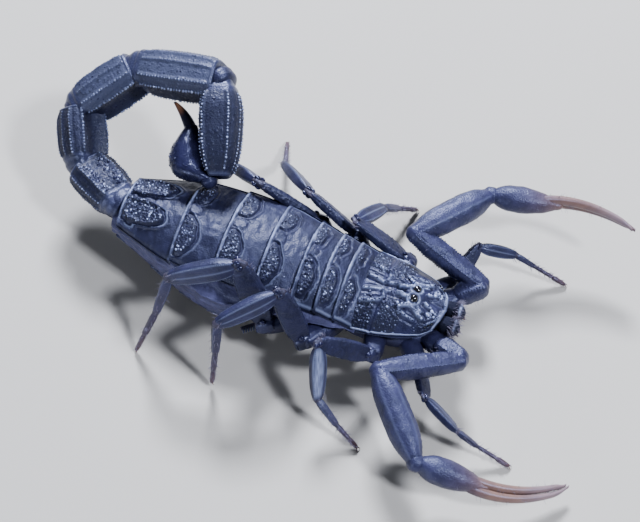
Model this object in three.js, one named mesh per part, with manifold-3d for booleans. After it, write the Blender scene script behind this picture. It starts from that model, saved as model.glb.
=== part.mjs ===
// A black fat-tailed scorpion at life size, standing with its tail curled over its left side.
// Millimetres. +X is forward, +Y is the animal's left, +Z is up, and the floor is z = 0.
import * as THREE from "three";
import { mergeVertices } from "three/addons/utils/BufferGeometryUtils.js";
import Module from "manifold-3d";

const wasm = await Module();
wasm.setup();

// ---------------------------------------------------------------- driving dimensions

const GAP = 0.2; // clearance where one piece meets the next
const PLATE = 1.0; // thickness of a back plate

// The back, from the carapace's rear margin to the tail. Each row is a plate boundary:
// its x, the midline's y, the plates' half width, and the height of the midline and of the edge.
const BACK = [
  { x: 4.7, y: 0.1, half: 4.8, mid: 8.0, edge: 6.4 },
  { x: 2.9, y: 0.1, half: 4.9, mid: 8.8, edge: 6.8 },
  { x: 0.9, y: 0.15, half: 5.0, mid: 9.3, edge: 7.2 },
  { x: -1.6, y: 0.2, half: 5.3, mid: 9.7, edge: 7.7 },
  { x: -5.4, y: 0.35, half: 5.6, mid: 10.0, edge: 8.1 },
  { x: -9.9, y: 0.5, half: 5.6, mid: 10.1, edge: 8.1 },
  { x: -14.8, y: 0.7, half: 5.2, mid: 9.8, edge: 7.8 },
  { x: -21.6, y: 0.95, half: 3.2, mid: 8.7, edge: 7.4 },
];
const PLATE_STEP = 0.3; // how far each back plate's front sinks under the one before

// The soft sides and belly plates: x, the middle's y, half width, underside.
const BELLY = [
  { x: 4.4, y: 0.1, half: 3.9, low: 5.4 },
  { x: 2.0, y: 0.1, half: 4.6, low: 5.1 },
  { x: -1.5, y: 0.15, half: 5.2, low: 4.9 },
  { x: -4.0, y: 0.2, half: 5.9, low: 3.4 },
  { x: -6.0, y: 0.2, half: 6.5, low: 2.4 },
  { x: -8.5, y: 0.2, half: 6.9, low: 1.7 },
  { x: -12.0, y: 0.4, half: 6.3, low: 1.5 },
  { x: -15.5, y: 0.65, half: 5.2, low: 2.0 },
  { x: -18.8, y: 0.85, half: 4.0, low: 3.2 },
  { x: -22.6, y: 1.0, half: 2.7, low: 4.7 },
];

const HEAD = { rear: 4.9, front: 13.4, middle: 0.25, rearHalf: 4.9, frontHalf: 2.85, underside: 5.5 };
const EYE = { x: 10.05, y: 0.54, z: 8.2, radius: 0.42 };
const CHELICERA = { x: 13.6, y: 0.95, z: 5.3, length: 2.1, width: 1.7, height: 2.0 };

// Tail segments from the body out, with the heading and pitch of each.
const TAIL_START = new THREE.Vector3(-22.3, 0.9, 7.0);
const TAIL_SIDE = new THREE.Vector3(-0.177, -0.513, 0.84); // the curl's own axis
const TAIL = [
  { length: 6.0, width: 5.2, depth: 4.5, heading: 153, pitch: 5 },
  { length: 6.3, width: 5.1, depth: 4.3, heading: 116, pitch: 25 },
  { length: 7.6, width: 5.4, depth: 4.5, heading: 39, pitch: 29 },
  { length: 9.7, width: 5.4, depth: 4.7, heading: 0, pitch: 12 },
  { length: 10.0, width: 5.3, depth: 4.3, heading: -71, pitch: -27 },
];
const VESICLE = { length: 5.7, width: 3.6, depth: 3.1, heading: 120, pitch: 21, offset: 2.2, bulge: 1.0 };
const STING = { length: 4.2, width: 1.5, heading: 128, pitch: 17, hook: 1.1 };

// Pedipalps: each link's length, width and height, then heading and pitch on each side.
const PALP_LINKS = [
  { name: "trochanter", length: 2.7, width: 2.3, height: 2.5 },
  { name: "femur", length: 8.8, width: 2.2, height: 2.3 },
  { name: "patella", length: 9.6, width: 2.8, height: 2.9 },
  { name: "hand", length: 5.3, width: 2.7, height: 2.7 },
];
// `inward` is how far the finger tips lie towards the midline, and `stack` the angle in degrees by
// which the movable finger lies below the other.
const PALP_POSE = {
  right: { start: [13.9, -2.7, 4.6], aim: [[-30, 12], [-144, 15], [-49, -12], [5, -15]], inward: 3.2, stack: 15 },
  left: { start: [13.6, 3.5, 4.7], aim: [[35, 13], [170, 25], [53, -4], [12, -4]], inward: 1.6, stack: 75 },
};
const FINGER = { length: 10.3, width: 1.15, height: 1.25, bow: 1.2 };

// Walking legs: lengths and sizes of the links, first pair to last.
const LEG_LINKS = [
  { femur: 4.5, patella: 4.6, tibia: 2.6, tarsus: 4.0, broad: 1.6 },
  { femur: 7.1, patella: 5.9, tibia: 3.3, tarsus: 3.3, broad: 2.0 },
  { femur: 6.9, patella: 6.7, tibia: 4.2, tarsus: 4.8, broad: 2.4 },
  { femur: 8.1, patella: 7.4, tibia: 4.9, tarsus: 6.2, broad: 2.7 },
];
// Each leg's hip, and the heading and pitch of its femur, patella and tibia.
// The tarsus turns to the last heading and comes down to the floor.
const LEG_POSE = {
  right: [
    { hip: [12.6, -5.4, 3.4], femur: [-68, 26], patella: [-20, -26], tibia: [-5, -32], tarsus: -3 },
    { hip: [7.7, -5.9, 4.4], femur: [-147, 39], patella: [-72, -53], tibia: [-24, -38], tarsus: -18 },
    { hip: [0.7, -6.9, 4.6], femur: [164, 66], patella: [-138, -13], tibia: [-95, -78], tarsus: -100 },
    { hip: [-3.4, -6.6, 5.0], femur: [156, 66], patella: [-160, -17], tibia: [-124, -67], tarsus: -130 },
  ],
  left: [
    { hip: [12.6, 5.6, 3.4], femur: [70, 26], patella: [25, -26], tibia: [5, -32], tarsus: 0 },
    { hip: [7.7, 5.9, 4.4], femur: [174, 30], patella: [72, -33], tibia: [61, -45], tarsus: 52 },
    { hip: [1.9, 6.9, 4.7], femur: [168, 28], patella: [136, -22], tibia: [112, -52], tarsus: 108 },
    { hip: [-2.6, 7.3, 4.7], femur: [-172, 38], patella: [146, -28], tibia: [134, -60], tarsus: 128 },
  ],
};
const TROCHANTER_RADIUS = 1.05;
const FOOT = 0.62; // thickness of the last leg joint

const PECTEN = { x: -0.7, y: 1.5, z: 1.55, length: 7.4, width: 1.5, thick: 0.7, heading: 222 };

// ---------------------------------------------------------------- materials

const finish = (color, roughness) => new THREE.MeshStandardMaterial({ color, roughness, metalness: 0 });
const PLATE_BLACK = finish(0x1b1e2b, 0.42);
const LEG_BLACK = finish(0x20222d, 0.5);
const FINGER_BROWN = finish(0x4a2a1c, 0.4);
const MEMBRANE = finish(0x2a2a33, 0.6);
const EYE_BLACK = finish(0x050506, 0.08);
const STING_BROWN = finish(0x2a1610, 0.3);

// ---------------------------------------------------------------- solids

function solidOf(geometry) {
  const bare = geometry.clone();
  bare.deleteAttribute("normal");
  bare.deleteAttribute("uv");
  const merged = mergeVertices(bare, 1e-4);
  return new wasm.Manifold(
    new wasm.Mesh({
      numProp: 3,
      vertProperties: merged.attributes.position.array,
      triVerts: new Uint32Array(merged.index.array),
    }),
  );
}

function geometryOf(solid) {
  const mesh = solid.getMesh();
  const indexed = new THREE.BufferGeometry();
  indexed.setAttribute("position", new THREE.BufferAttribute(mesh.vertProperties, mesh.numProp));
  indexed.setIndex(new THREE.BufferAttribute(mesh.triVerts, 1));
  const geometry = indexed.toNonIndexed();
  geometry.computeVertexNormals();
  return geometry;
}

const lerp = THREE.MathUtils.lerp;
const rounded = (value, power) => Math.sign(value) * Math.abs(value) ** (2 / power);
const oval = (power) => (angle) => [rounded(Math.cos(angle), power), rounded(Math.sin(angle), power)];

// The value of a key in a list of stations at any x, between the stations on each side of it.
function along(stations, x, key) {
  const rising = stations[0].x < stations[1].x;
  const past = stations.findIndex((s) => (rising ? s.x >= x : s.x <= x));
  const next = past < 0 ? stations.length - 1 : Math.max(past, 1);
  const a = stations[next - 1];
  const b = stations[next];
  return lerp(a[key], b[key], THREE.MathUtils.clamp((x - a.x) / (b.x - a.x), 0, 1));
}

// A closed body along +X through stations of { x, w, h, y, z }, each a section of width w and height h.
function loft(stations, sides, section = oval(2.4)) {
  const rows = stations.length - 1;
  const geometry = new THREE.CylinderGeometry(1, 1, 1, sides, rows);
  const point = geometry.attributes.position;
  for (let i = 0; i < point.count; i += 1) {
    const { x, w, h, y = 0, z = 0 } = stations[Math.round((point.getY(i) + 0.5) * rows)];
    const onRim = Math.hypot(point.getX(i), point.getZ(i)) > 0.5 ? 0.5 : 0;
    const [across, up] = section(Math.atan2(point.getZ(i), -point.getX(i)));
    point.setXYZ(i, x, y + onRim * w * across, z + onRim * h * up);
  }
  return solidOf(geometry);
}

// A slab over x from back to front and y from side to side, between two surfaces.
function slab(rows, columns, place) {
  const geometry = new THREE.BoxGeometry(1, 1, 1, rows, columns, 1);
  const point = geometry.attributes.position;
  for (let i = 0; i < point.count; i += 1) {
    const [x, y, z] = place(point.getX(i) + 0.5, 2 * point.getY(i), point.getZ(i) > 0);
    point.setXYZ(i, x, y, z);
  }
  return solidOf(geometry);
}

function ball(radius, x, y, z) {
  return solidOf(new THREE.SphereGeometry(radius, 8, 5).rotateX(Math.PI / 2).translate(x, y, z));
}

// Everything on the far side of a plane, as a block to cut with.
function beyond(point, normal) {
  const block = new THREE.BoxGeometry(80, 80, 80).translate(0, 0, 40);
  block.applyQuaternion(new THREE.Quaternion().setFromUnitVectors(new THREE.Vector3(0, 0, 1), normal));
  return solidOf(block.translate(point.x, point.y, point.z));
}

// ---------------------------------------------------------------- placing

const degrees = THREE.MathUtils.degToRad;

function direction([heading, pitch]) {
  const h = degrees(heading);
  const p = degrees(pitch);
  return new THREE.Vector3(Math.cos(p) * Math.cos(h), Math.cos(p) * Math.sin(h), Math.sin(p));
}

// A turn that lays local +X along a direction and local +Z as near to `up` as it can be.
function facing(forward, up) {
  const side = new THREE.Vector3().crossVectors(up, forward).normalize();
  const top = new THREE.Vector3().crossVectors(forward, side);
  return new THREE.Quaternion().setFromRotationMatrix(new THREE.Matrix4().makeBasis(forward, side, top));
}

const UP = new THREE.Vector3(0, 0, 1);
const root = new THREE.Group();

function place(name, solid, material, at, turn) {
  const mesh = new THREE.Mesh(geometryOf(solid), material);
  mesh.name = name;
  mesh.position.copy(at);
  mesh.quaternion.copy(turn);
  root.add(mesh);
  return mesh;
}

const HERE = new THREE.Vector3();
const UNTURNED = new THREE.Quaternion();

// A plane through a joint, halfway between two links, in the frame of one of them.
function mitre(solid, turn, at, before, after, sign) {
  const normal = before.clone().add(after).normalize().multiplyScalar(sign);
  normal.applyQuaternion(turn.clone().invert());
  const point = at.clone().addScaledVector(normal, -GAP / 2);
  return solid.subtract(beyond(point, normal));
}

// A limb: links laid end to end, each cut at its joints. `ends` are the directions before and after it.
function limb(start, links, ends = {}) {
  let at = new THREE.Vector3(...start);
  return links.map((link, i) => {
    const turn = facing(link.forward, link.up ?? UP);
    const before = i ? links[i - 1].forward : ends.before;
    const after = i < links.length - 1 ? links[i + 1].forward : ends.after;
    let solid = link.solid;
    if (before) solid = mitre(solid, turn, HERE, before, link.forward, -1);
    const tip = new THREE.Vector3(link.length, 0, 0);
    if (after) solid = mitre(solid, turn, tip, link.forward, after, 1);
    const placed = place(link.name, solid, link.material, at, turn);
    at = at.clone().addScaledVector(link.forward, link.length);
    return placed;
  });
}

// ---------------------------------------------------------------- body

// The back's height at x, and y as a share of the half width there.
function backHeight(x, share) {
  return lerp(along(BACK, x, "mid"), along(BACK, x, "edge"), Math.abs(share) ** 2.2);
}

function tergite(i) {
  const front = BACK[i].x - GAP / 2;
  const rear = BACK[i + 1].x + GAP / 2;
  return slab(2, 10, (t, share, top) => {
    const x = lerp(rear, front, t);
    const rise = PLATE_STEP * (0.5 - t);
    const edgeRound = top ? 0 : 0.25 * Math.abs(share) ** 4;
    const y = along(BACK, x, "y") + along(BACK, x, "half") * share;
    return [x, y, backHeight(x, share) + (top ? rise : -PLATE + edgeRound)];
  });
}

function belly() {
  const stations = BELLY.map(({ x, y, half, low }) => {
    const high = along(BACK, x, "mid");
    return { x, y, w: 2 * half, h: high - low, z: (high + low) / 2 };
  }).reverse();
  const sunk = PLATE + PLATE_STEP / 2 + GAP;
  const underPlates = slab(8, 10, (t, share, top) => {
    const x = lerp(-23, 5, t);
    const y = share * 9;
    const reach = Math.min(1.15, Math.abs(y - along(BACK, x, "y")) / along(BACK, x, "half"));
    return [x, y, top ? 20 : backHeight(x, reach) - sunk];
  });
  return loft(stations, 16, oval(2.5)).subtract(underPlates);
}

// The carapace's top: an arched shield with a raised eye mound, falling to its front and rear.
function carapaceHeight(x, share) {
  const t = (x - HEAD.rear) / (HEAD.front - HEAD.rear);
  const crown = 7.6 + 0.75 * Math.sin(Math.PI * Math.min(1, 0.25 + 0.75 * t)) - 0.5 * t * t;
  const rim = lerp(5.9, 6.1, t);
  const mound = 0.45 * Math.exp(-(((x - EYE.x) / 1.5) ** 2) - ((share + 0.04) / 0.3) ** 2);
  const furrow = 0.25 * Math.exp(-((share / 0.12) ** 2)) * (t < 0.45 ? 1 : 0.4);
  return lerp(crown, rim, Math.abs(share) ** 2.4) + mound - furrow;
}

function carapace() {
  return slab(9, 10, (t, share, top) => {
    const bowed = 1 + 0.05 * Math.sin(Math.PI * t);
    const corner = 1 - 0.2 * THREE.MathUtils.smoothstep(t, 0.82, 1.05);
    const half = lerp(HEAD.rearHalf, HEAD.frontHalf, t ** 1.25) * bowed * corner;
    const nose = t * 0.35 * share * share;
    const x = lerp(HEAD.rear, HEAD.front, t) - nose;
    return [x, HEAD.middle * (1 - 0.5 * t) + half * share, top ? carapaceHeight(x, share) : HEAD.underside];
  });
}

const eyeBall = (side, grow) => ball(EYE.radius + grow, EYE.x, side * EYE.y, EYE.z + 0.12);

function chelicera() {
  const { length, width, height } = CHELICERA;
  const stations = [
    { x: 0, w: width * 0.9, h: height * 0.9 },
    { x: length * 0.3, w: width, h: height },
    { x: length * 0.6, w: width * 0.9, h: height * 0.85, z: -0.1 },
    { x: length * 0.8, w: width * 0.5, h: height * 0.5, z: -0.4 },
    { x: length, w: width * 0.28, h: height * 0.3, z: -0.8 },
  ];
  return loft(stations, 10);
}

// A coxa: a lobe from near the midline out to a limb's hip.
function coxa([hx, hy, hz], inner, width, height) {
  const side = Math.sign(hy);
  const from = new THREE.Vector3(inner, side * 0.7, 3.3);
  const to = new THREE.Vector3(hx, hy, hz);
  const forward = to.clone().sub(from);
  const length = forward.length();
  const stations = [
    { x: 0, w: width * 0.6, h: height * 0.8 },
    { x: length * 0.35, w: width, h: height },
    { x: length * 0.8, w: width * 0.95, h: height * 0.95 },
    { x: length, w: width * 0.6, h: height * 0.6 },
  ];
  const geometry = geometryOf(loft(stations, 8));
  geometry.applyQuaternion(facing(forward.normalize(), UP));
  return solidOf(geometry.translate(from.x, from.y, from.z));
}

function coxae() {
  let solid = loft([
    { x: -0.5, w: 4.0, h: 2.2, z: 3.4 },
    { x: 2.0, w: 6.4, h: 2.8, z: 3.5 },
    { x: 6.0, w: 8.2, h: 3.2, z: 3.4 },
    { x: 10.5, w: 7.2, h: 3.1, z: 3.5 },
    { x: 13.2, w: 5.2, h: 2.7, z: 3.6 },
  ], 14, oval(3));
  for (const side of ["right", "left"]) {
    solid = solid.add(coxa(PALP_POSE[side].start, 11.2, 2.5, 2.6));
    LEG_POSE[side].forEach(({ hip }, i) => {
      solid = solid.add(coxa(hip, 9.0 - 2.5 * i, 2.1 + 0.1 * i, 2.4));
    });
  }
  const shield = slab(1, 1, (t, share, top) => [lerp(-9, 18, t), share * 12, top ? 12 : HEAD.underside - GAP]);
  const jaws = slab(1, 1, (t, share, top) => [lerp(CHELICERA.x - GAP, 18, t), share * 2.1, top ? 12 : 4]);
  return solid.subtract(shield).subtract(jaws);
}

function pecten() {
  const { length, width, thick } = PECTEN;
  const stations = [0, 0.12, 0.4, 0.75, 0.95, 1].map((t, i) => ({
    x: t * length,
    w: width * [0.5, 0.9, 1, 0.9, 0.6, 0.3][i],
    h: thick,
    z: 0.35 * t,
  }));
  return loft(stations, 8, oval(3));
}

// ---------------------------------------------------------------- limbs

// A limb link whose ends are domes that reach past its joints, ready to be mitred.
function link(length, width, height, swell = [0.72, 0.86, 1, 0.97, 0.8], sides = 8, power = 2.6) {
  const reach = 0.42 * Math.max(width, height);
  const at = [0.06, 0.25, 0.5, 0.78, 0.95];
  const stations = at.map((t, i) => ({ x: t * length, w: width * swell[i], h: height * swell[i] }));
  const dome = (x, share) => ({ x, w: width * share, h: height * share });
  return loft([dome(-reach, swell[0] * 0.5), ...stations, dome(length + reach, swell[4] * 0.5)], sides, oval(power));
}

// Stations of a finger: `outer` is 1 for the movable finger and -1 for the fixed one.
function finger({ inward, stack }, sign, outer, from) {
  const { length, width, height, bow } = FINGER;
  const tilt = degrees(stack);
  return [0, 0.14, 0.3, 0.5, 0.7, 0.88, 1].map((t) => {
    const w = width * (1 - 0.52 * t ** 1.5);
    const apart = outer * (w / 2 + GAP * 0.6);
    return {
      x: from + t * length,
      w,
      h: height * (1 - 0.52 * t ** 1.5),
      y: sign * (apart * Math.cos(tilt) - inward * t + 4 * bow * t * (1 - t)),
      z: -apart * Math.sin(tilt),
    };
  });
}

function palp(name, sign) {
  const pose = PALP_POSE[name];
  const { start, aim } = pose;
  const swells = [
    [0.8, 0.95, 1, 1, 0.9],
    [0.85, 0.95, 1, 1, 0.85],
    [0.62, 0.9, 1, 0.95, 0.7],
    [0.66, 0.95, 1, 0.9, 0.8],
  ];
  const links = PALP_LINKS.map((part, i) => ({
    name: `palp_${name}_${part.name}`,
    length: part.length,
    forward: direction(aim[i]),
    solid: link(part.length, part.width, part.height, swells[i], 10),
    material: PLATE_BLACK,
  }));
  const hand = links[3];
  const reach = PALP_LINKS[3].length - 0.6;
  const fixed = finger(pose, sign, -1, reach);
  const movable = finger(pose, sign, 1, reach + 0.3);
  const grown = movable.map((s) => ({ ...s, w: s.w + 2 * GAP, h: s.h + 2 * GAP }));
  const room = [{ ...grown[0], x: grown[0].x - GAP }, ...grown, { ...grown[6], x: grown[6].x + 2 * GAP }];
  hand.solid = hand.solid.add(loft(fixed, 8)).subtract(loft(room, 8));
  const meshes = limb(start, links, { before: direction(aim[0]) });
  const held = meshes[3];
  place(`palp_${name}_finger`, loft(movable, 8), FINGER_BROWN, held.position, held.quaternion);
}

function leg(name, number) {
  const size = LEG_LINKS[number - 1];
  const pose = LEG_POSE[name][number - 1];
  const blade = [0.6, 0.9, 1, 0.88, 0.68];
  const broad = size.broad;
  const thick = 0.45 * broad;
  const femur = link(size.femur, thick, broad, blade).add(ball(TROCHANTER_RADIUS, 0, 0, 0));
  const patella = link(size.patella, thick, broad * 0.85, [0.6, 0.95, 1, 0.85, 0.6]);
  const hip = new THREE.Vector3(...pose.hip);
  const ankle = hip.clone()
    .addScaledVector(direction(pose.femur), size.femur)
    .addScaledVector(direction(pose.patella), size.patella)
    .addScaledVector(direction(pose.tibia), size.tibia);
  // The foot comes down at the pitch that lets its end reach the floor.
  const fall = Math.asin(THREE.MathUtils.clamp(-(ankle.z - 0.25) / size.tarsus, -0.97, -0.1));
  const tarsus = direction([pose.tarsus, THREE.MathUtils.radToDeg(fall)]);
  const shin = direction(pose.tibia);
  // The links of a leg bend in one plane, and their broad faces lie along it.
  const hinge = new THREE.Vector3().crossVectors(direction(pose.femur), direction(pose.patella));
  const upright = (forward) => new THREE.Vector3().crossVectors(forward, hinge);
  const turn = facing(shin, upright(shin));
  const foot = tarsus.clone().applyQuaternion(turn.clone().invert());
  const slim = (t) => lerp(broad * 0.44, FOOT, t);
  const down = [0, 0.45, 0.8, 1].map((t) => foot.clone().multiplyScalar(size.tarsus * t));
  const stations = [
    { x: -0.4, w: slim(0) * 0.6, h: slim(0) * 0.8 },
    { x: size.tibia * 0.3, w: slim(0), h: slim(0) * 1.25 },
    { x: size.tibia * 1.03, w: slim(0.2), h: slim(0.2) * 1.1 },
  ];
  const shank = loft(stations, 8);
  const toe = geometryOf(loft([
    { x: -0.2, w: slim(0.3), h: slim(0.3) },
    { x: size.tarsus * 0.5, w: slim(0.6), h: slim(0.6) },
    { x: size.tarsus * 1.12, w: FOOT, h: FOOT },
  ], 8)).applyQuaternion(facing(foot.clone(), new THREE.Vector3(0, 0, 1)));
  const whole = shank.add(solidOf(toe.translate(size.tibia, 0, 0)));
  const knee = hip.clone()
    .addScaledVector(direction(pose.femur), size.femur)
    .addScaledVector(direction(pose.patella), size.patella);
  const downward = new THREE.Vector3(0, 0, -1).applyQuaternion(turn.clone().invert());
  const sole = new THREE.Vector3(0, 0, -knee.z).applyQuaternion(turn.clone().invert());
  const shape = whole.subtract(beyond(sole, downward));
  const parts = [["femur", femur], ["patella", patella], ["tarsus", shape]];
  limb(pose.hip, parts.map(([part, solid], i) => {
    const forward = direction([pose.femur, pose.patella, pose.tibia][i]);
    const length = [size.femur, size.patella, size.tibia][i];
    return { name: `leg_${name}_${number}_${part}`, length, forward, up: upright(forward), solid, material: LEG_BLACK };
  }));
}

// ---------------------------------------------------------------- tail

// A tail segment's section: flat sides, and a channel along the back between its two ridges.
function tailSection(angle) {
  const [across, up] = oval(3.4)(angle);
  const channel = up > 0 ? 0.3 * Math.exp(-((across / 0.55) ** 2)) : 0;
  return [across, up * (1 - channel)];
}

function tail() {
  const links = TAIL.map(({ length, width, depth, heading, pitch }, i) => {
    const forward = direction([heading, pitch]);
    const swell = [0.8, 0.96, 1, 0.99, 0.92];
    const reach = 1.5;
    const at = [0.05, 0.25, 0.5, 0.78, 0.94];
    const stations = at.map((t, k) => ({ x: t * length, w: width * swell[k], h: depth * swell[k] }));
    const first = { x: -reach, w: width * 0.5, h: depth * 0.5 };
    const last = { x: length + (i < 4 ? reach : 0), w: width * 0.5, h: depth * 0.5 };
    return {
      name: `tail_${i + 1}`,
      length,
      forward,
      up: new THREE.Vector3().crossVectors(forward, TAIL_SIDE),
      solid: loft([first, ...stations, last], 16, tailSection),
      material: PLATE_BLACK,
    };
  });
  const meshes = limb(TAIL_START, links, { before: new THREE.Vector3(-1, 0, 0) });
  const last = links[4];
  const neck = TAIL_START.clone();
  links.forEach(({ forward, length }) => neck.addScaledVector(forward, length));
  const dorsal = last.up.clone().normalize();
  neck.addScaledVector(last.forward, 0.25).addScaledVector(dorsal, VESICLE.offset);
  return { meshes, neck };
}

function telson(neck) {
  const { length, width, depth, bulge } = VESICLE;
  const forward = direction([VESICLE.heading, VESICLE.pitch]);
  const aim = direction([STING.heading, STING.pitch]);
  const up = new THREE.Vector3().crossVectors(forward, TAIL_SIDE);
  const bulb = loft([
    { x: 0, w: width * 0.42, h: depth * 0.4 },
    { x: length * 0.16, w: width * 0.8, h: depth * 0.8, z: -0.7 * bulge },
    { x: length * 0.42, w: width, h: depth, z: -bulge },
    { x: length * 0.7, w: width * 0.82, h: depth * 0.82, z: -0.8 * bulge },
    { x: length + 0.6, w: STING.width * 0.85, h: STING.width * 0.85, z: -0.1 },
  ], 12);
  const sting = loft([0, 0.25, 0.5, 0.75, 1].map((t) => ({
    x: lerp(-0.6, STING.length, t),
    w: lerp(STING.width, 0.5, t),
    h: lerp(STING.width, 0.5, t),
    z: -STING.hook * t * t,
  })), 8);
  limb(neck, [
    { name: "vesicle", length, forward, up, solid: bulb, material: PLATE_BLACK },
    { name: "sting", length: STING.length, forward: aim, up: up.clone(), solid: sting, material: STING_BROWN },
  ]);
}

// ---------------------------------------------------------------- the animal

const SIDES = [["right", -1], ["left", 1]];

let shield = carapace();
for (const [, sign] of SIDES) shield = shield.subtract(eyeBall(sign, GAP / 2));
place("carapace", shield, PLATE_BLACK, HERE, UNTURNED);
for (const [name, sign] of SIDES) {
  place(`eye_${name}`, eyeBall(sign, 0), EYE_BLACK, HERE, UNTURNED);
  const at = new THREE.Vector3(CHELICERA.x, sign * CHELICERA.y, CHELICERA.z);
  place(`chelicera_${name}`, chelicera(), PLATE_BLACK, at, UNTURNED);
  palp(name, sign);
  for (const number of [1, 2, 3, 4]) leg(name, number);
  const comb = new THREE.Vector3(PECTEN.x, sign * PECTEN.y, PECTEN.z);
  const trail = direction([-sign * PECTEN.heading, 0]);
  place(`pecten_${name}`, pecten(), MEMBRANE, comb, facing(trail, UP));
}

const tailCut = new THREE.Vector3(-1, 0, 0).add(direction([TAIL[0].heading, TAIL[0].pitch])).normalize();
const behind = beyond(TAIL_START.clone().addScaledVector(tailCut, -GAP / 2), tailCut);
for (let i = 0; i < BACK.length - 1; i += 1) {
  place(`tergite_${i + 1}`, tergite(i).subtract(behind), PLATE_BLACK, HERE, UNTURNED);
}

// The hips' balls, each grown by the clearance, hollow the coxae and the sides.
let under = coxae();
let flesh = belly().subtract(behind);
for (const [name] of SIDES) {
  for (const { hip } of LEG_POSE[name]) {
    const socket = ball(TROCHANTER_RADIUS + GAP, ...hip);
    under = under.subtract(socket);
    flesh = flesh.subtract(socket);
  }
  const { start, aim } = PALP_POSE[name];
  const outward = direction(aim[0]);
  const mouth = new THREE.Vector3(...start).addScaledVector(outward, -GAP / 2);
  under = under.subtract(beyond(mouth, outward));
}
place("coxae", under, MEMBRANE, HERE, UNTURNED);
place("belly", flesh.subtract(under), MEMBRANE, HERE, UNTURNED);

const { neck } = tail();
telson(neck);

// The origin is the middle of the animal's outline, on the floor.
root.updateMatrixWorld(true);
const box = new THREE.Box3().setFromObject(root, true);
const middle = box.getCenter(new THREE.Vector3());
root.children.forEach((mesh) => mesh.position.sub(new THREE.Vector3(middle.x, middle.y, 0)));

export default root;
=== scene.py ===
import math

import bpy
import numpy as np
from mathutils import Matrix, Vector


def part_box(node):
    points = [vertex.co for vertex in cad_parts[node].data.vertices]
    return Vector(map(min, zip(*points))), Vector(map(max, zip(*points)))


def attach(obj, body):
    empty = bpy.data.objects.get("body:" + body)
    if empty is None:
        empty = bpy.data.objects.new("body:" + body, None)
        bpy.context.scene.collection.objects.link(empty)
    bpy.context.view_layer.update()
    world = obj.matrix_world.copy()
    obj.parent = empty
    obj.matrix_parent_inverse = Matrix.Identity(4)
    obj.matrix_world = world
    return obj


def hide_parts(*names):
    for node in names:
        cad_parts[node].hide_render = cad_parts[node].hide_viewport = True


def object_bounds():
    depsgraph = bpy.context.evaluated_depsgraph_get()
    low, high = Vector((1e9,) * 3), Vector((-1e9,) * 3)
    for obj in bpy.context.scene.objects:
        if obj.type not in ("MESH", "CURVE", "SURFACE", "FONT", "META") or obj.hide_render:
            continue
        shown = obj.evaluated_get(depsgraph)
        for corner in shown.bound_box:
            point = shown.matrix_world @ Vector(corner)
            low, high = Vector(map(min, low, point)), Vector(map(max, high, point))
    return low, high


# A black fat-tailed scorpion at life size, standing with its tail curled over its left side.
# The tables are in millimetres in the animal's own frame, with the head at +X and its left at +Y.
# Every finished piece is in metres, in the frame of the CAD model.

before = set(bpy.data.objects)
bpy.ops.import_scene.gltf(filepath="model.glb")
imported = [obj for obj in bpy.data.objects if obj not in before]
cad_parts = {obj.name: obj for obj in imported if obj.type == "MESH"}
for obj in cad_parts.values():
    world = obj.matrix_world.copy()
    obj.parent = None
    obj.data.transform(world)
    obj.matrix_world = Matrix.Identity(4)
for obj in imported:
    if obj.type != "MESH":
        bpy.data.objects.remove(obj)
cad_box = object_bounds()

MM = 0.001
EYE_CENTRE = np.array([10.05, -0.54, 8.32])  # the right eye, which ties the two frames together
eye_low, eye_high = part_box("eye_right")
ORIGIN = EYE_CENTRE - np.array((eye_low + eye_high) / 2) / MM

# ---------------------------------------------------------------- sizes

# Plate boundaries of the back: x, the midline's y, half width, and height at the midline and the edge.
BACK = np.array([
    [-21.6, 0.95, 3.2, 8.7, 7.4],
    [-14.8, 0.7, 5.2, 9.8, 7.8],
    [-9.9, 0.5, 5.6, 10.1, 8.1],
    [-5.4, 0.35, 5.6, 10.0, 8.1],
    [-1.6, 0.2, 5.3, 9.7, 7.7],
    [0.9, 0.15, 5.0, 9.3, 7.2],
    [2.9, 0.1, 4.9, 8.8, 6.8],
    [4.7, 0.1, 4.8, 8.0, 6.4],
])
# The soft trunk: x, the middle's y, half width, underside.
BELLY = np.array([
    [-22.6, 1.0, 2.7, 4.7],
    [-18.8, 0.85, 4.0, 3.2],
    [-15.5, 0.65, 5.2, 2.0],
    [-12.0, 0.4, 6.3, 1.5],
    [-8.5, 0.2, 6.9, 1.7],
    [-6.0, 0.2, 6.6, 2.4],
    [-4.0, 0.2, 6.3, 3.4],
    [-1.5, 0.15, 5.9, 4.5],
    [2.0, 0.1, 5.4, 4.9],
    [4.4, 0.1, 4.9, 5.2],
])
HEAD = {"rear": 4.78, "front": 13.4, "middle": 0.25, "rear_half": 4.9, "front_half": 2.85, "under": 5.6}
EYE = {"x": 10.05, "y": 0.54, "z": 8.32, "radius": 0.48, "sunk": 0.13}
CHELICERA = {"x": 13.1, "y": 0.95, "z": 5.75, "length": 1.8, "width": 1.564, "height": 2.0}

# Tail segments: length, width, depth, heading, pitch, and how far each rolls about its own length.
TAIL_START = np.array([-22.3, 0.9, 7.0])
TAIL_SIDE = np.array([-0.177, -0.513, 0.84])
TAIL = [
    (6.0, 5.2, 4.5, 153, 5, 52),
    (6.3, 5.1, 4.3, 116, 25, 22),
    (7.6, 5.4, 4.5, 39, 29, 6),
    (9.7, 5.4, 4.7, 0, 12, 9),
    (10.0, 5.3, 4.3, -71, -27, 16),
]
VESICLE = {"length": 5.7, "width": 3.6, "depth": 3.3, "heading": 120, "pitch": 21}
VESICLE_OFFSET = 1.1  # how far its neck sits above the last segment's middle line
STING_DROP = 1.1  # how far the sting's root sits below the vesicle's neck
STING = {"length": 4.2, "width": 1.26, "heading": 128, "pitch": 17, "hook": 1.1}

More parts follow.
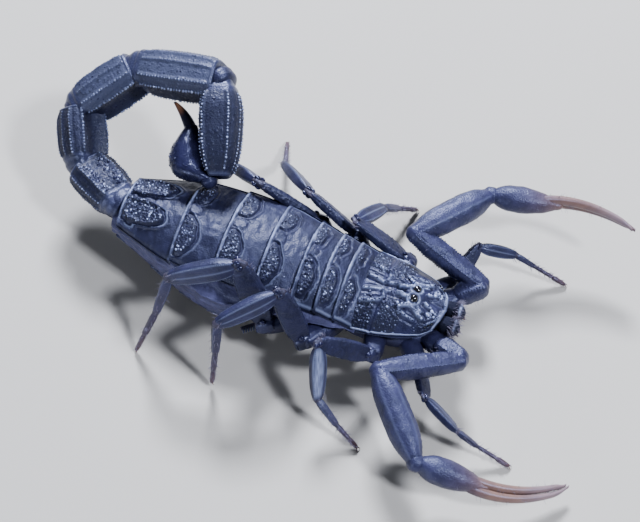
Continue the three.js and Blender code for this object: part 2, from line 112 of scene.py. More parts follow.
# Pincer arms: length, width and height of each link, then heading and pitch of each link on each side.
PALP_LINKS = {
    "trochanter": (2.7, 2.3, 2.5),
    "femur": (8.8, 2.2, 2.3),
    "patella": (9.6, 2.8, 2.9),
    "hand": (5.3, 2.7, 2.7),
}
PALP_AIM = {
    "right": [(-30, 12), (-144, 15), (-49, -12), (5, -15)],
    "left": [(35, 13), (170, 25), (53, -4), (12, -4)],
}
PALP_START = {"right": (13.9, -2.7, 4.6), "left": (13.6, 3.5, 4.7)}
# How far the fingers curve inward, and how far round one lies above the other, in degrees.
GRIP = {"right": {"inward": 3.2, "stack": 15}, "left": {"inward": 1.6, "stack": 75}}
FINGER = {"length": 10.3, "width": 0.98, "height": 1.15, "bow": 1.2}

# Walking legs, first pair to last: femur, patella, shin and foot lengths, and the blade's breadth.
LEG_LINKS = [
    (4.5, 4.6, 2.6, 4.0, 1.6),
    (7.1, 5.9, 3.3, 3.3, 2.0),
    (6.9, 6.7, 4.2, 4.8, 2.4),
    (8.1, 7.4, 4.9, 6.2, 2.7),
]
# Each leg's hip, then heading and pitch of femur, patella and shin, then the foot's heading.
LEG_POSE = {
    "right": [
        ((12.6, -5.4, 3.4), (-68, 26), (-20, -26), (-5, -32), -3),
        ((7.7, -5.9, 4.4), (-147, 39), (-72, -53), (-24, -38), -18),
        ((0.7, -6.9, 4.6), (164, 66), (-138, -13), (-95, -78), -100),
        ((-3.4, -6.6, 5.0), (156, 66), (-160, -17), (-124, -67), -130),
    ],
    "left": [
        ((12.6, 5.6, 3.4), (70, 26), (25, -26), (5, -32), 0),
        ((7.7, 5.9, 4.4), (174, 30), (72, -33), (61, -45), 52),
        ((1.9, 6.9, 4.7), (168, 28), (136, -22), (112, -52), 108),
        ((-2.6, 7.3, 4.7), (-172, 38), (146, -28), (134, -60), 128),
    ],
}
FOOT = 0.62
PECTEN = {"x": -0.7, "y": 1.5, "z": 1.55, "length": 7.4, "heading": 222, "teeth": 25}
SIDES = [("right", -1), ("left", 1)]

rng = np.random.default_rng(7)

# ---------------------------------------------------------------- curves and noise


def flow(places, values, at):
    """A smooth curve through values at the given places."""
    places = np.asarray(places, float)
    values = np.asarray(values, float)
    slope = np.gradient(values, places)
    i = np.clip(np.searchsorted(places, at) - 1, 0, len(places) - 2)
    span = places[i + 1] - places[i]
    s = np.clip((at - places[i]) / span, 0, 1)
    start = (1 + 2 * s) * (1 - s) ** 2 * values[i] + s * (1 - s) ** 2 * span * slope[i]
    end = s * s * (3 - 2 * s) * values[i + 1] + s * s * (s - 1) * span * slope[i + 1]
    return start + end


def step(low, high, value):
    """Rises smoothly from 0 to 1 between low and high."""
    s = np.clip((value - low) / (high - low), 0, 1)
    return s * s * (3 - 2 * s)


def hill(value, middle, width):
    """A smooth bump of height 1."""
    return np.exp(-(((value - middle) / width) ** 2))


def shut_ends(t, first, last):
    """1 along a body, falling to 0 at its two ends."""
    return np.interp(t, [0, first, last, 1], [0, 1, 1, 0])


def rounded_box(a, power):
    """How far a rounded box's section reaches in each direction."""
    return (np.abs(np.cos(a)) ** power + np.abs(np.sin(a)) ** power) ** (-1 / power)


def stacked(x, y, z):
    return np.stack([x, y, z], axis=-1)


def hashed(cell, seed):
    """A repeatable number from 0 to 1 for each whole-number cell."""
    mixed = cell[..., 0] * 73856093 ^ cell[..., 1] * 19349663 ^ cell[..., 2] * 83492791 ^ (seed * 2654435)
    mixed = (mixed ^ (mixed >> 13)) * 1274126177
    mixed = mixed ^ (mixed >> 16)
    return (mixed & 0xFFFF) / 0xFFFF


def lumps(points, size, seed):
    """Smooth noise from -1 to 1 with lumps of about this size."""
    cell = np.floor(points / size).astype(np.int64)
    part = points / size - cell
    part = part * part * (3 - 2 * part)
    total = 0
    for corner in np.ndindex(2, 2, 2):
        weight = np.prod(np.where(corner, part, 1 - part), axis=-1)
        total = total + weight * hashed(cell + np.array(corner), seed)
    return 2 * total - 1


def granules(points, size, seed, share):
    """Domed granules about `size` apart, 1 at a top and 0 between them, kept where share is high."""
    scaled = points / size
    cell = np.floor(scaled).astype(np.int64)
    best = np.zeros(len(points))
    for corner in np.ndindex(3, 3, 3):
        near = cell + np.array(corner) - 1
        jitter = np.stack([0.2 + 0.6 * hashed(near, seed + k) for k in range(3)], axis=-1)
        reach = 0.32 + 0.26 * hashed(near, seed + 3)
        gap = ((scaled - near - jitter) ** 2).sum(-1) / reach**2
        kept = hashed(near, seed + 4) < share
        height = 0.6 + 0.4 * hashed(near, seed + 5)
        best = np.maximum(best, np.sqrt(np.clip(1 - gap, 0, None)) * kept * height)
    return best


# ---------------------------------------------------------------- frames


def direction(heading, pitch):
    h, p = math.radians(heading), math.radians(pitch)
    return np.array([math.cos(p) * math.cos(h), math.cos(p) * math.sin(h), math.sin(p)])


def unit(vector):
    vector = np.asarray(vector, float)
    return vector / np.linalg.norm(vector, axis=-1, keepdims=True)


def facing(forward, up, roll=0):
    """Rows are the forward, side and top axes of a piece that lies along `forward`."""
    side = unit(np.cross(up, forward))
    top = np.cross(forward, side)
    c, s = math.cos(math.radians(roll)), math.sin(math.radians(roll))
    return np.array([forward, c * side + s * top, c * top - s * side])


def placed(local, axes, at):
    return local @ axes + np.asarray(at)


# ---------------------------------------------------------------- making pieces


def deselect():
    bpy.ops.object.select_all(action="DESELECT")


def pick(*pieces):
    """Selects these pieces and nothing else, with the first one active."""
    deselect()
    for piece in pieces:
        piece.select_set(True)
    bpy.context.view_layer.objects.active = pieces[0]


def vertex_places(piece):
    flat = np.zeros(len(piece.data.vertices) * 3)
    piece.data.vertices.foreach_get("co", flat)
    return flat.reshape(-1, 3)


def move_vertices(piece, places):
    piece.data.vertices.foreach_set("co", np.asarray(places, float).ravel())
    piece.data.update()


def mark(piece, name, values):
    """Stores a number from 0 to 1 at each vertex, for the materials to read."""
    layer = piece.data.attributes.get(name) or piece.data.attributes.new(name, "FLOAT", "POINT")
    layer.data.foreach_set("value", np.broadcast_to(values, len(piece.data.vertices)).astype(np.float32))


WELD_GAP = 2e-4


def weld(piece):
    """Closes the seam and the poles and turns every face outwards."""
    pick(piece)
    bpy.ops.object.mode_set(mode="EDIT")
    bpy.ops.mesh.select_all(action="SELECT")
    bpy.ops.mesh.remove_doubles(threshold=WELD_GAP)
    bpy.ops.mesh.normals_make_consistent(inside=False)
    bpy.ops.object.mode_set(mode="OBJECT")


MARKS = ("brown", "pale", "shine", "rough_mark")


def rolled(name, surface, around, along, marks=None):
    """A closed body: a grid rolled round its length, shaped by surface(a, t) and drawn shut at its ends.

    `a` goes round from 0 to 2 pi and `t` from 0 to 1 along. `marks` gives each attribute's values.
    """
    deselect()
    bpy.ops.mesh.primitive_grid_add(x_subdivisions=around, y_subdivisions=along, size=2)
    piece = bpy.context.object
    piece.name = piece.data.name = name
    flat = vertex_places(piece)
    a = (flat[:, 0] + 1) * math.pi
    t = (flat[:, 1] + 1) / 2
    move_vertices(piece, surface(a, t))
    for key in MARKS:
        values = marks(a, t).get(key, 0) if marks else 0
        mark(piece, key, values)
    weld(piece)
    return piece


def normals_of(surface, a, t):
    """Outward directions of a rolled surface."""
    nudge = 2e-3
    round_it = surface(a + nudge, t) - surface(a - nudge, t)
    along_it = surface(a, t + nudge) - surface(a, t - nudge)
    return unit(np.cross(round_it, along_it) + 1e-12)


def template(kind):
    """One small shape that is copied many times: (vertices, triangles), with +Z as its height."""
    deselect()
    if kind == "bead":
        bpy.ops.mesh.primitive_ico_sphere_add(subdivisions=1, radius=1)
    elif kind == "round_bead":
        bpy.ops.mesh.primitive_ico_sphere_add(subdivisions=2, radius=1)
    else:
        bpy.ops.mesh.primitive_cone_add(vertices=5, radius1=1, radius2=0.15, depth=1, location=(0, 0, 0.5))
    shape = bpy.context.object
    bpy.ops.object.transform_apply(location=True, rotation=True, scale=True)
    bpy.ops.object.mode_set(mode="EDIT")
    bpy.ops.mesh.select_all(action="SELECT")
    bpy.ops.mesh.quads_convert_to_tris()
    bpy.ops.object.mode_set(mode="OBJECT")
    corners = vertex_places(shape)
    faces = np.array([tuple(face.vertices) for face in shape.data.polygons])
    bpy.data.objects.remove(shape)
    return corners, faces


TEMPLATES = {kind: template(kind) for kind in ("bead", "round_bead", "hair")}


def copies(name, kind, points, normals, radii, heights, brown=0.0, pale=0.0):
    """Many copies of one small shape as a single mesh, each standing along its own normal."""
    corners, faces = TEMPLATES[kind]
    points, normals = np.atleast_2d(points), unit(np.atleast_2d(normals))
    count = len(points)
    radii = np.broadcast_to(radii, count)[:, None, None]
    heights = np.broadcast_to(heights, count)[:, None, None]
    upright = np.abs(normals[:, 2:3]) >= 0.9
    helper = np.where(upright, np.array([[1.0, 0.0, 0.0]]), np.array([[0.0, 0.0, 1.0]]))
    side = unit(np.cross(helper, normals))
    front = np.cross(normals, side)
    places = (
        points[:, None, :]
        + corners[None, :, 0:1] * radii * side[:, None, :]
        + corners[None, :, 1:2] * radii * front[:, None, :]
        + corners[None, :, 2:3] * heights * normals[:, None, :]
    ).reshape(-1, 3)
    triangles = (faces[None] + (np.arange(count) * len(corners))[:, None, None]).reshape(-1, 3)
    mesh = bpy.data.meshes.new(name)
    mesh.from_pydata(places.tolist(), [], triangles.tolist())
    piece = bpy.data.objects.new(name, mesh)
    bpy.context.scene.collection.objects.link(piece)
    mark(piece, "shine", 1.0)
    mark(piece, "rough_mark", 0.0)
    mark(piece, "brown", np.repeat(np.broadcast_to(brown, count), len(corners)))
    mark(piece, "pale", np.repeat(np.broadcast_to(pale, count), len(corners)))
    return piece


def joined(name, pieces):
    """Several meshes made one piece."""
    pick(*pieces)
    if len(pieces) > 1:
        bpy.ops.object.join()
    pieces[0].name = pieces[0].data.name = name
    return pieces[0]


def finished(piece, material, slot, *nodes):
    """Puts a piece in metres in the CAD's frame, gives it its finish, and sets it on the body."""
    places = (vertex_places(piece) - ORIGIN) * MM
    move_vertices(piece, np.clip(places, cad_box[0], cad_box[1]))
    pick(piece)
    bpy.ops.object.shade_smooth()
    piece.data.materials.clear()
    piece.data.materials.append(material)
    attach(piece, "root")
    if nodes:
        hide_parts(*nodes)


# ---------------------------------------------------------------- finishes


def new_finish(name):
    material = bpy.data.materials.new(name)
    material.use_nodes = True
    return material, material.node_tree, material.node_tree.nodes["Principled BSDF"]


def feed(tree, socket, value):
    """Links an input to another node's output, or sets it to a plain value."""
    if isinstance(value, bpy.types.NodeSocket):
        tree.links.new(value, socket)
    else:
        socket.default_value = value


def fill_in(tree, node, **inputs):
    for key, value in inputs.items():
        feed(tree, node.inputs[key.replace("_", " ")], value)
    return node


def add_node(tree, kind, **inputs):
    return fill_in(tree, tree.nodes.new(kind), **inputs)


def mixed(tree, factor, first, second):
    """One colour mixed into another."""
    mix = tree.nodes.new("ShaderNodeMix")
    mix.data_type = "RGBA"
    for index, value in ((0, factor), (6, first), (7, second)):
        feed(tree, mix.inputs[index], value)
    return mix.outputs[2]


def reckoned(tree, operation, *terms, clamp=False):
    math_node = tree.nodes.new("ShaderNodeMath")
    math_node.operation = operation
    math_node.use_clamp = clamp
    for index, value in enumerate(terms):
        feed(tree, math_node.inputs[index], value)
    return math_node.outputs[0]


def attribute(tree, name):
    made = tree.nodes.new("ShaderNodeAttribute")
    made.attribute_name = name
    return made.outputs["Fac"]


def shade(*rgb):
    return (*rgb, 1.0)


BROWN = shade(0.15, 0.066, 0.032)
# Whitish colour mixed in for painted highlights and glints, and for paler setae and tones.
PAINTED_HIGHLIGHT_AND_PALE = shade(0.42, 0.5, 0.8)
# Near-black colour mixed in for painted shade between granules and on lower faces, and for darker tones such
# as the jaws and femora.
PAINTED_PIT_SHADE_AND_DARK = shade(0.003, 0.003, 0.008)
SHEEN_BLUE = shade(0.52, 0.6, 1.0)
TAN = shade(0.175, 0.1, 0.072)

BUMP_DEPTH = 0.00004
PAINTED_PIT_SHADE_AND_DARK_SHARE = 0.88
SHINE_DROP = 0.3
ROUGH_RISE = 0.25
HAZE_SPREAD = 0.22


def chitin(name, dark, light, roughness, bump, coat, fine=7000, browned_to=BROWN):
    """Horny cuticle: blotched colour, fine shagreen, browner where the piece is marked so, darker where
    marked, for painted shade in pits and for darker tones, and paler where marked, for painted highlights and
    glints and for paler tones.
    """
    material, tree, shader = new_finish(name)
    where = tree.nodes.new("ShaderNodeTexCoord").outputs["Object"]
    blotches = add_node(tree, "ShaderNodeTexNoise", Vector=where, Scale=900.0, Detail=4.0, Roughness=0.6)
    shagreen = add_node(tree, "ShaderNodeTexVoronoi", Vector=where, Scale=float(fine))
    haze = add_node(tree, "ShaderNodeTexNoise", Vector=where, Scale=5200.0, Detail=3.0, Roughness=0.65)
    blotch, mist = blotches.outputs["Fac"], haze.outputs["Fac"]
    spread = reckoned(tree, "MULTIPLY_ADD", blotch, 1.9, -0.45, clamp=True)
    colour = mixed(tree, spread, shade(*dark), shade(*light))
    browned = reckoned(tree, "MULTIPLY", attribute(tree, "brown"), reckoned(tree, "ADD", blotch, 0.45))
    colour = mixed(tree, reckoned(tree, "MINIMUM", browned, 1.0), colour, browned_to)
    # Painted shade and darker tone where marked dull and dark, then painted highlights and paler tone where
    # marked pale.
    colour = mixed(tree, reckoned(tree, "MULTIPLY", attribute(tree, "rough_mark"), PAINTED_PIT_SHADE_AND_DARK_SHARE), colour, PAINTED_PIT_SHADE_AND_DARK)
    colour = mixed(tree, attribute(tree, "pale"), colour, PAINTED_HIGHLIGHT_AND_PALE)
    uneven = reckoned(tree, "MULTIPLY_ADD", mist, HAZE_SPREAD, roughness - HAZE_SPREAD / 2)
    duller = reckoned(tree, "MULTIPLY", attribute(tree, "rough_mark"), ROUGH_RISE)
    shinier = reckoned(tree, "MULTIPLY", attribute(tree, "shine"), SHINE_DROP)
    gloss = reckoned(tree, "SUBTRACT", reckoned(tree, "ADD", uneven, duller), shinier, clamp=True)
    grains = reckoned(tree, "MULTIPLY", shagreen.outputs["Distance"], -1.0)
    relief = reckoned(tree, "ADD", grains, mist)
    bumped = add_node(tree, "ShaderNodeBump", Strength=bump, Distance=BUMP_DEPTH, Height=relief)
    normal = bumped.outputs["Normal"]
    fill_in(tree, shader, Base_Color=colour, Roughness=gloss, Normal=normal, Coat_Normal=normal, IOR=1.52)
    fill_in(tree, shader, Specular_Tint=SHEEN_BLUE, Coat_Weight=coat, Coat_Roughness=0.2)
    return material


# Each finish: dark and light colour, roughness, bump and coat.
PINCER_DARK, PINCER_LIGHT = (0.0085, 0.0085, 0.024), (0.028, 0.028, 0.074)
SHELL = chitin("shell_black", (0.0035, 0.0036, 0.011), (0.018, 0.0185, 0.054), 0.44, 0.6, 0.1, fine=6500)
PINCER = chitin("pincer_shell", PINCER_DARK, PINCER_LIGHT, 0.48, 0.6, 0.05, fine=6500, browned_to=TAN)
FINGER_SHELL = chitin("finger_brown", PINCER_DARK, PINCER_LIGHT, 0.48, 0.3, 0.05, browned_to=TAN)
LEG_SHELL = chitin("leg_shell", (0.0045, 0.0045, 0.013), (0.0185, 0.0185, 0.055), 0.44, 0.6, 0.1, fine=6500)
SKIN = chitin("side_skin", (0.024, 0.024, 0.056), (0.085, 0.085, 0.19), 0.5, 0.7, 0.08, fine=5500)
JOINT_SKIN = chitin("joint_skin", (0.012, 0.011, 0.02), (0.045, 0.036, 0.05), 0.5, 0.5, 0.0)
JAW_SHELL = chitin("jaw_black", (0.002, 0.002, 0.003), (0.008, 0.006, 0.007), 0.8, 1.0, 0.0)
COMB = chitin("comb_dark", (0.02, 0.02, 0.032), (0.07, 0.062, 0.08), 0.45, 0.3, 0.1)
STING_SHELL = chitin("sting_brown", (0.005, 0.005, 0.012), (0.016, 0.014, 0.026), 0.4, 0.1, 0.1)


def eye_finish():
    material, tree, shader = new_finish("eye_black")
    where = tree.nodes.new("ShaderNodeTexCoord").outputs["Object"]
    depth = add_node(tree, "ShaderNodeTexNoise", Vector=where, Scale=1500.0, Detail=2.0)
    colour = mixed(tree, depth.outputs["Fac"], shade(0.002, 0.002, 0.003), shade(0.008, 0.008, 0.012))
    fill_in(tree, shader, Base_Color=colour, Roughness=0.06, Coat_Weight=1.0, Coat_Roughness=0.03)
    return material


EYE_SHELL = eye_finish()

# ---------------------------------------------------------------- back plates


def back(x, column):
    return flow(BACK[:, 0], BACK[:, column], x)


def back_height(x, share):
    edge = np.clip(np.abs(share), 0, 1.3) ** 2.2
    return back(x, 3) * (1 - edge) + back(x, 4) * edge


TOP_SHARE = 0.84  # the share of the turn round a plate's section that its top takes
PLATE_DEPTH = 0.75


def over_and_under(a, top_share):
    """The place from rear to front as `a` goes over a plate and back below, and how far back it is."""
    turn = a / (2 * math.pi)
    under = (turn - top_share) / (1 - top_share)
    return np.where(under < 0, turn / top_share, 1 - under), under


def shield_loop(a):
    """The place from rear to front round a back plate's section, and its depth below the top."""
    t, under = over_and_under(a, TOP_SHARE)
    depth = PLATE_DEPTH * np.sin(math.pi * np.clip(under, 0, 1)) ** 0.4
    return t, np.where(under < 0, 0.0, depth)


def strewn(x_low, x_high, y_low, y_high, gap):
    """Places about `gap` apart, each a little off its spot."""
    x, y = np.meshgrid(np.arange(x_low, x_high, gap), np.arange(y_low, y_high, gap))
    return np.stack([x.ravel(), y.ravel()], axis=-1) + rng.uniform(-0.38, 0.38, (x.size, 2)) * gap


def rounded_gap(edges):
    """The largest of several distances, with its corners rounded."""
    sharpness = 7
    return np.log(np.exp(sharpness * np.clip(np.stack(edges), -3, 3)).sum(0)) / sharpness


def outside(d, y, front, y_low, y_high, arch):
    """How far a place lies outside a patch with a bowed front, in mm, and below 0 inside it."""
    rear = 0.34
    bowed = front - arch * ((y - (y_low + y_high) / 2) / ((y_high - y_low) / 2)) ** 2
    return rounded_gap([d - bowed, rear - d, y_low - y, y - y_high])


def tergite(number):
    """A back plate: smooth in front, granular patches behind, and a raised rear rim with a painted highlight
    along it.
    """
    i = 7 - number
    rear, front = BACK[i, 0] + 0.02, BACK[i + 1, 0] + 0.3
    length = front - rear
    seed = 40 + 7 * number
    last = number == 7

    def patches(t, share):
        """How far a place lies outside the near, middle and far patches."""
        d = t * length
        y = share * back(rear + d, 2)
        if last:
            mid = np.abs(share - 0.03)
            bowed = flow([0.03, 0.09, 0.3, 0.6, 0.78], [0.02, 0.36, 0.66, 0.56, 0.2], mid) * length
            crescent = rounded_gap([d - bowed, 0.32 - d, (0.05 - mid) * 4.2, (mid - 0.76) * 4.2])
            return crescent, np.full_like(d, 9.0), np.full_like(d, 9.0)
        half = 0.5 * (BACK[i, 2] + BACK[i + 1, 2])
        near_front = 0.45 + (0.33 if length > 3 else 0.42) * length
        near = outside(d, y, near_front, -0.86 * half, -0.1 * half, 0.22 * length)
        middle = outside(d, y, 0.3 + 0.3 * length, -0.04 * half, 0.16 * half, 0.15)
        far = outside(d, y, 0.35 + 0.34 * length, 0.24 * half, 0.8 * half, 0.12 * length)
        return near, middle, far

    def relief(t, share, points):
        d = t * length
        wander = 0.13 * lumps(points, 0.7, seed + 5) + 0.06 * lumps(points, 0.3, seed + 6)
        near, middle, far = (gap + wander for gap in patches(t, share))
        side = np.abs(share)
        rim = hill(d, 0.15, 0.1) * (1 - step(0.8, 1.0, side))
        rise = 0.12 * rim - 0.06 * hill(d, 0.42, 0.08)
        rise += 0.06 * lumps(points, 1.3, seed) + 0.035 * lumps(points, 0.5, seed + 1)
        inside = np.zeros_like(d)
        scale = min(1.0, length / 3.2)
        for gap, height, strength in ((near, 0.16, 1.0), (middle, 0.06, 0.4), (far, 0.12, 0.9)):
            rise += scale * (height * (1 - step(-0.15, 0.05, gap)) - 0.13 * strength * hill(gap, 0.15, 0.1))
            inside = np.maximum(inside, (1 - step(-0.1, 0.05, gap)) * (gap is not middle))
        ridge = hill(near, 0.46, 0.12) * step(0.5, 1.3, d) * (1 - step(0.8, 0.95, side))
        rise += 0.11 * scale * ridge
        rise += 0.08 * scale * hill(far, 0.42, 0.12) * (d > 0.9)
        if last:
            rise += 0.26 * hill(near, -0.3, 0.22) + 0.16 * hill(near, 0.8, 0.25)
        fine = granules(points, 0.32, seed + 2, 0.95) * inside
        shagreen = granules(points, 0.22, seed + 9, 0.55) * step(0.25, 0.6, side) * (1 - step(0.6, 0.8, t))
        drawn_out = points * np.array([1.0, 0.35, 1.0])
        streaks = lumps(drawn_out, 0.42, seed + 20) * (1 - inside) * step(0.25, 0.45, t)
        rise += 0.16 * fine + 0.035 * shagreen + 0.045 * scale * streaks
        tuck = step(0.9, 1.0, t) * (not last) + 0.4 * step(0.93, 1.0, t) * last
        rise -= 0.45 * tuck
        edge = step(0.9, 1.0, side)
        return rise - 0.25 * edge * edge, inside, fine, rim, ridge

    def surface(a, v):
        share = 2 * v - 1
        t, under = shield_loop(a)
        x = rear + t * length
        y = back(x, 1) + back(x, 2) * share
        rise = relief(t, share, stacked(x, y, np.zeros_like(x)))[0]
        taper = np.sqrt(np.clip(1 - np.abs(share) ** 24, 0, 1))
        z = back_height(x, share) + 0.4 * (0.5 - t) + rise * (under == 0) - under * taper
        z = z - 0.35 * (under > 0) * (t > 0.95)
        round_end = 0.1 * (under > 0) * np.sin(math.pi * np.clip(under / PLATE_DEPTH, 0, 1))
        return stacked(x + round_end * np.where(t < 0.5, -0.3, 0.3), y, z)

    def marks(a, v):
        share = 2 * v - 1
        t, under = shield_loop(a)
        x = rear + t * length
        y = back(x, 1) + back(x, 2) * share
        _, inside, fine, rim, ridge = relief(t, share, stacked(x, y, np.zeros_like(x)))
        # Painted highlights: a patchy whitish line along the rear rim, stronger towards the far side, on the
        # ridge round the near patch and on the side edges.
        painted_rim_highlight = rim * (0.36 + 0.24 * lumps(stacked(x, y, y), 1.2, 8))
        painted_rim_highlight = painted_rim_highlight * (0.4 + 0.6 * step(-0.7, 0.0, share))
        side_rim = hill(np.abs(share), 0.945, 0.018) * (number < 5) * (t > 0.1)
        pale = painted_rim_highlight + (0.22 if last else 0.1) * ridge + 0.3 * side_rim
        return {
            "pale": np.clip(pale, 0, 1) * (under == 0),
            "shine": np.clip(fine + 0.5 * rim + 0.4 * ridge, 0, 1),
            # Painted shade between the granules of the patches; elsewhere a darker tone that spares the rim.
            "rough_mark": np.where(inside > 0.1, 0.95 * inside * (1 - fine), 0.45 * (1 - rim)),
        }

    def beads(gap, low, high, radius, pale, chance, near_side):
        """Granules about `gap` apart where a patch is between `low` and `high` mm away."""
        spots = strewn(rear + 0.35, front - 0.35, -5.6, 5.6, gap)
        t = (spots[:, 0] - rear) / length
        share = spots[:, 1] / back(spots[:, 0], 2)
        near, _, far = patches(t, share)
        inner = near if near_side else far
        kept = (inner > low) & (inner < high) & (np.abs(share) < 0.93) & (rng.random(len(t)) < chance)
        t, share = t[kept], share[kept]
        a, v = t * TOP_SHARE * 2 * math.pi, (share + 1) / 2
        size = radius * rng.uniform(0.6, 1.3, len(t))
        normals = normals_of(surface, a, v)
        points = surface(a, v) - 0.3 * size[:, None] * normals
        # Painted glints: a few granules are tinted whitish.
        painted_glint = pale * rng.random(len(t)) ** 4
        return copies("granules", "bead", points, normals, size, size * 0.95, pale=painted_glint)

    pieces = [rolled(f"tergite_{number}", surface, int(length / 0.05) + 16, 200, marks)]
    pieces.append(beads(0.27, -9, -0.1, 0.11, 1.0, 0.85, True))
    pieces.append(beads(0.25, -9, -0.08, 0.09, 0.8, 0.8, False))
    pieces.append(beads(0.4, 0.3, 1.1, 0.06, 0.7, 0.3, True))
    finished(joined(f"tergite_{number}", pieces), SHELL, "shell", f"tergite_{number}")


for number in range(1, 8):
    tergite(number)

# ---------------------------------------------------------------- carapace


def carapace_height(x, share):
    t = (x - HEAD["rear"]) / (HEAD["front"] - HEAD["rear"])
    crown = 7.6 + 0.75 * np.sin(math.pi * np.minimum(1, 0.25 + 0.75 * t)) - 0.5 * t * t
    rim = 5.9 + 0.2 * t
    mound = 0.45 * np.exp(-(((x - EYE["x"]) / 1.5) ** 2) - ((share + 0.04) / 0.3) ** 2)
    edge = np.abs(share) ** 2.4
    return crown * (1 - edge) + rim * edge + mound


def carapace_place(t, share):
    bowed = 1 + 0.05 * np.sin(math.pi * t)
    corner = 1 - 0.2 * step(0.82, 1.05, t)
    half = HEAD["rear_half"] + (HEAD["front_half"] - HEAD["rear_half"]) * t**1.25
    half = half * bowed * corner
    x = HEAD["rear"] + (HEAD["front"] - HEAD["rear"]) * t - (0.3 * t + 0.5 * t**4) * share * share
    return x, HEAD["middle"] * (1 - 0.5 * t) + half * share


MIDLINE = -0.05
# Ridges of the head shield on each side: (place along, share of the half width from the midline).
HEAD_RIDGES = {
    "hind_inner": (0.13, [(0.02, 0.16), (0.23, 0.09), (0.38, 0.12), (0.46, 0.09)]),
    "hind_outer": (0.18, [(0.02, 0.45), (0.11, 0.42), (0.24, 0.37)]),
    "hind_cross": (0.12, [(0.24, 0.37), (0.27, 0.25), (0.25, 0.12)]),
    "brow": (0.2, [(0.42, 0.08), (0.52, 0.14), (0.6, 0.21), (0.67, 0.26), (0.73, 0.38)]),
    "cheek_upper": (0.3, [(0.48, 0.4), (0.52, 0.34), (0.58, 0.31), (0.68, 0.4), (0.78, 0.56)]),
    "cheek_lower": (0.14, [(0.48, 0.46), (0.58, 0.55), (0.69, 0.61)]),
    "fore": (0.26, [(0.76, 0.14), (0.83, 0.22), (0.86, 0.32)]),
    "front": (0.16, [(0.97, 0.1), (0.965, 0.42), (0.93, 0.6), (0.86, 0.7)]),
}
# Fields of granules: spacing, range along, range across, radius, chance and strength of painted glints.
HEAD_FIELDS = [
    (0.27, 0.02, 0.21, 0.3, 0.9, 0.1, 0.9, 0.5),
    (0.27, 0.26, 0.55, 0.36, 0.92, 0.095, 0.85, 0.5),
    (0.42, 0.27, 0.5, 0.16, 0.46, 0.16, 0.7, 0.8),
    (0.34, 0.72, 0.94, 0.58, 0.9, 0.09, 0.7, 0.22),
    (0.3, 0.88, 0.97, 0.16, 0.55, 0.1, 0.7, 0.5),
    (0.5, 0.05, 0.95, 0.0, 0.97, 0.05, 0.35, 0.22),
]
# Rows of granules on the ridges: ridge, count, radius and strength of painted glints.
HEAD_ROWS = [
    ("hind_outer", 8, 0.14, 0.8),
    ("hind_inner", 13, 0.09, 0.6),
    ("brow", 15, 0.07, 0.6),
    ("cheek_upper", 18, 0.13, 1.0),
    ("cheek_lower", 9, 0.1, 0.8),
    ("fore", 7, 0.15, 1.0),
    ("front", 16, 0.07, 0.5),
]


def line_distance(t, side, stops):
    """Distance in mm on the head shield from a line through the stops."""
    span = HEAD["front"] - HEAD["rear"]
    place = np.stack([t * span, side * 4.1], axis=-1)
    best = np.full(len(t), 9.0)
    corners = [np.array([stop[0] * span, stop[1] * 4.1]) for stop in stops]
    for first, second in zip(corners, corners[1:]):
        run = second - first
        share = np.clip((place - first) @ run / (run @ run), 0, 1)
        best = np.minimum(best, np.linalg.norm(place - first - share[:, None] * run, axis=1))
    return best


def carapace_relief(t, share):
    """Furrows, ridges and granule fields of the head shield: (rise, roughness, granules, ridges, rim)."""
    x, y = carapace_place(t, share)
    flat = stacked(x, y, np.zeros_like(x))
    side = np.abs(share - MIDLINE)
    wobble = 0.07 * lumps(flat, 0.6, 21)
    rise = 0.06 * lumps(flat, 1.2, 3) + 0.035 * lumps(flat, 0.5, 4)
    furrow = hill(side, 0, 0.06 + 0.1 * (1 - step(0.1, 0.5, t))) * (1 - step(0.42, 0.55, t))
    rise -= 0.2 * furrow
    rise -= 0.2 * hill(side, 0, 0.09) * step(0.7, 0.8, t)
    rise -= 0.12 * hill(t, 0.235, 0.018) * step(0.42, 0.55, side)
    ridges = np.zeros_like(t)
    for height, stops in HEAD_RIDGES.values():
        gap = line_distance(t, side, stops)
        rise += 1.15 * height * hill(gap + wobble, 0, 0.15) - 0.08 * hill(gap, 0.36, 0.12)
        ridges = np.maximum(ridges, hill(gap + wobble, 0, 0.12) * height / 0.26)
    # A brow curls round the outer side of each eye.
    gap = np.hypot((t - 0.611) * 8.62, (side - 0.14) * 3.95)
    brow = hill(gap, 0.62, 0.1) * (side > 0.12) + 0.5 * hill(gap, 0.62, 0.1) * (side <= 0.12)
    rise += 0.16 * brow
    ridges = np.maximum(ridges, 0.9 * brow)
    cheeks = step(0.3, 0.4, side) * (1 - step(0.88, 0.96, side))
    back_field = cheeks * (1 - step(0.19, 0.22, t))
    mid_field = cheeks * step(0.26, 0.29, t) * (1 - step(0.5, 0.56, t))
    lumpy = hill(t, 0.38, 0.1) * hill(side, 0.34, 0.16)
    front_field = step(0.5, 0.6, side) * step(0.72, 0.78, t) * (1 - step(0.88, 0.95, side))
    far_front = hill(t, 0.93, 0.05) * hill(side, 0.3, 0.2)
    rough = np.maximum.reduce([back_field, mid_field, 0.8 * lumpy, 0.6 * front_field, 0.6 * far_front])
    rough = rough * (1 - 0.8 * np.clip(ridges, 0, 1))
    fine = granules(flat, 0.31, 5, 0.9) * rough
    small = granules(flat, 0.22, 17, 0.6) * (0.25 + 0.75 * rough)
    rise += 0.15 * fine + 0.04 * small
    rim = np.maximum(hill(np.abs(share), 0.98, 0.009), 0.7 * hill(t, 0.975, 0.014) * (np.abs(share) < 0.95))
    rise += 0.1 * rim
    return rise, rough, fine, np.clip(ridges, 0, 1), rim


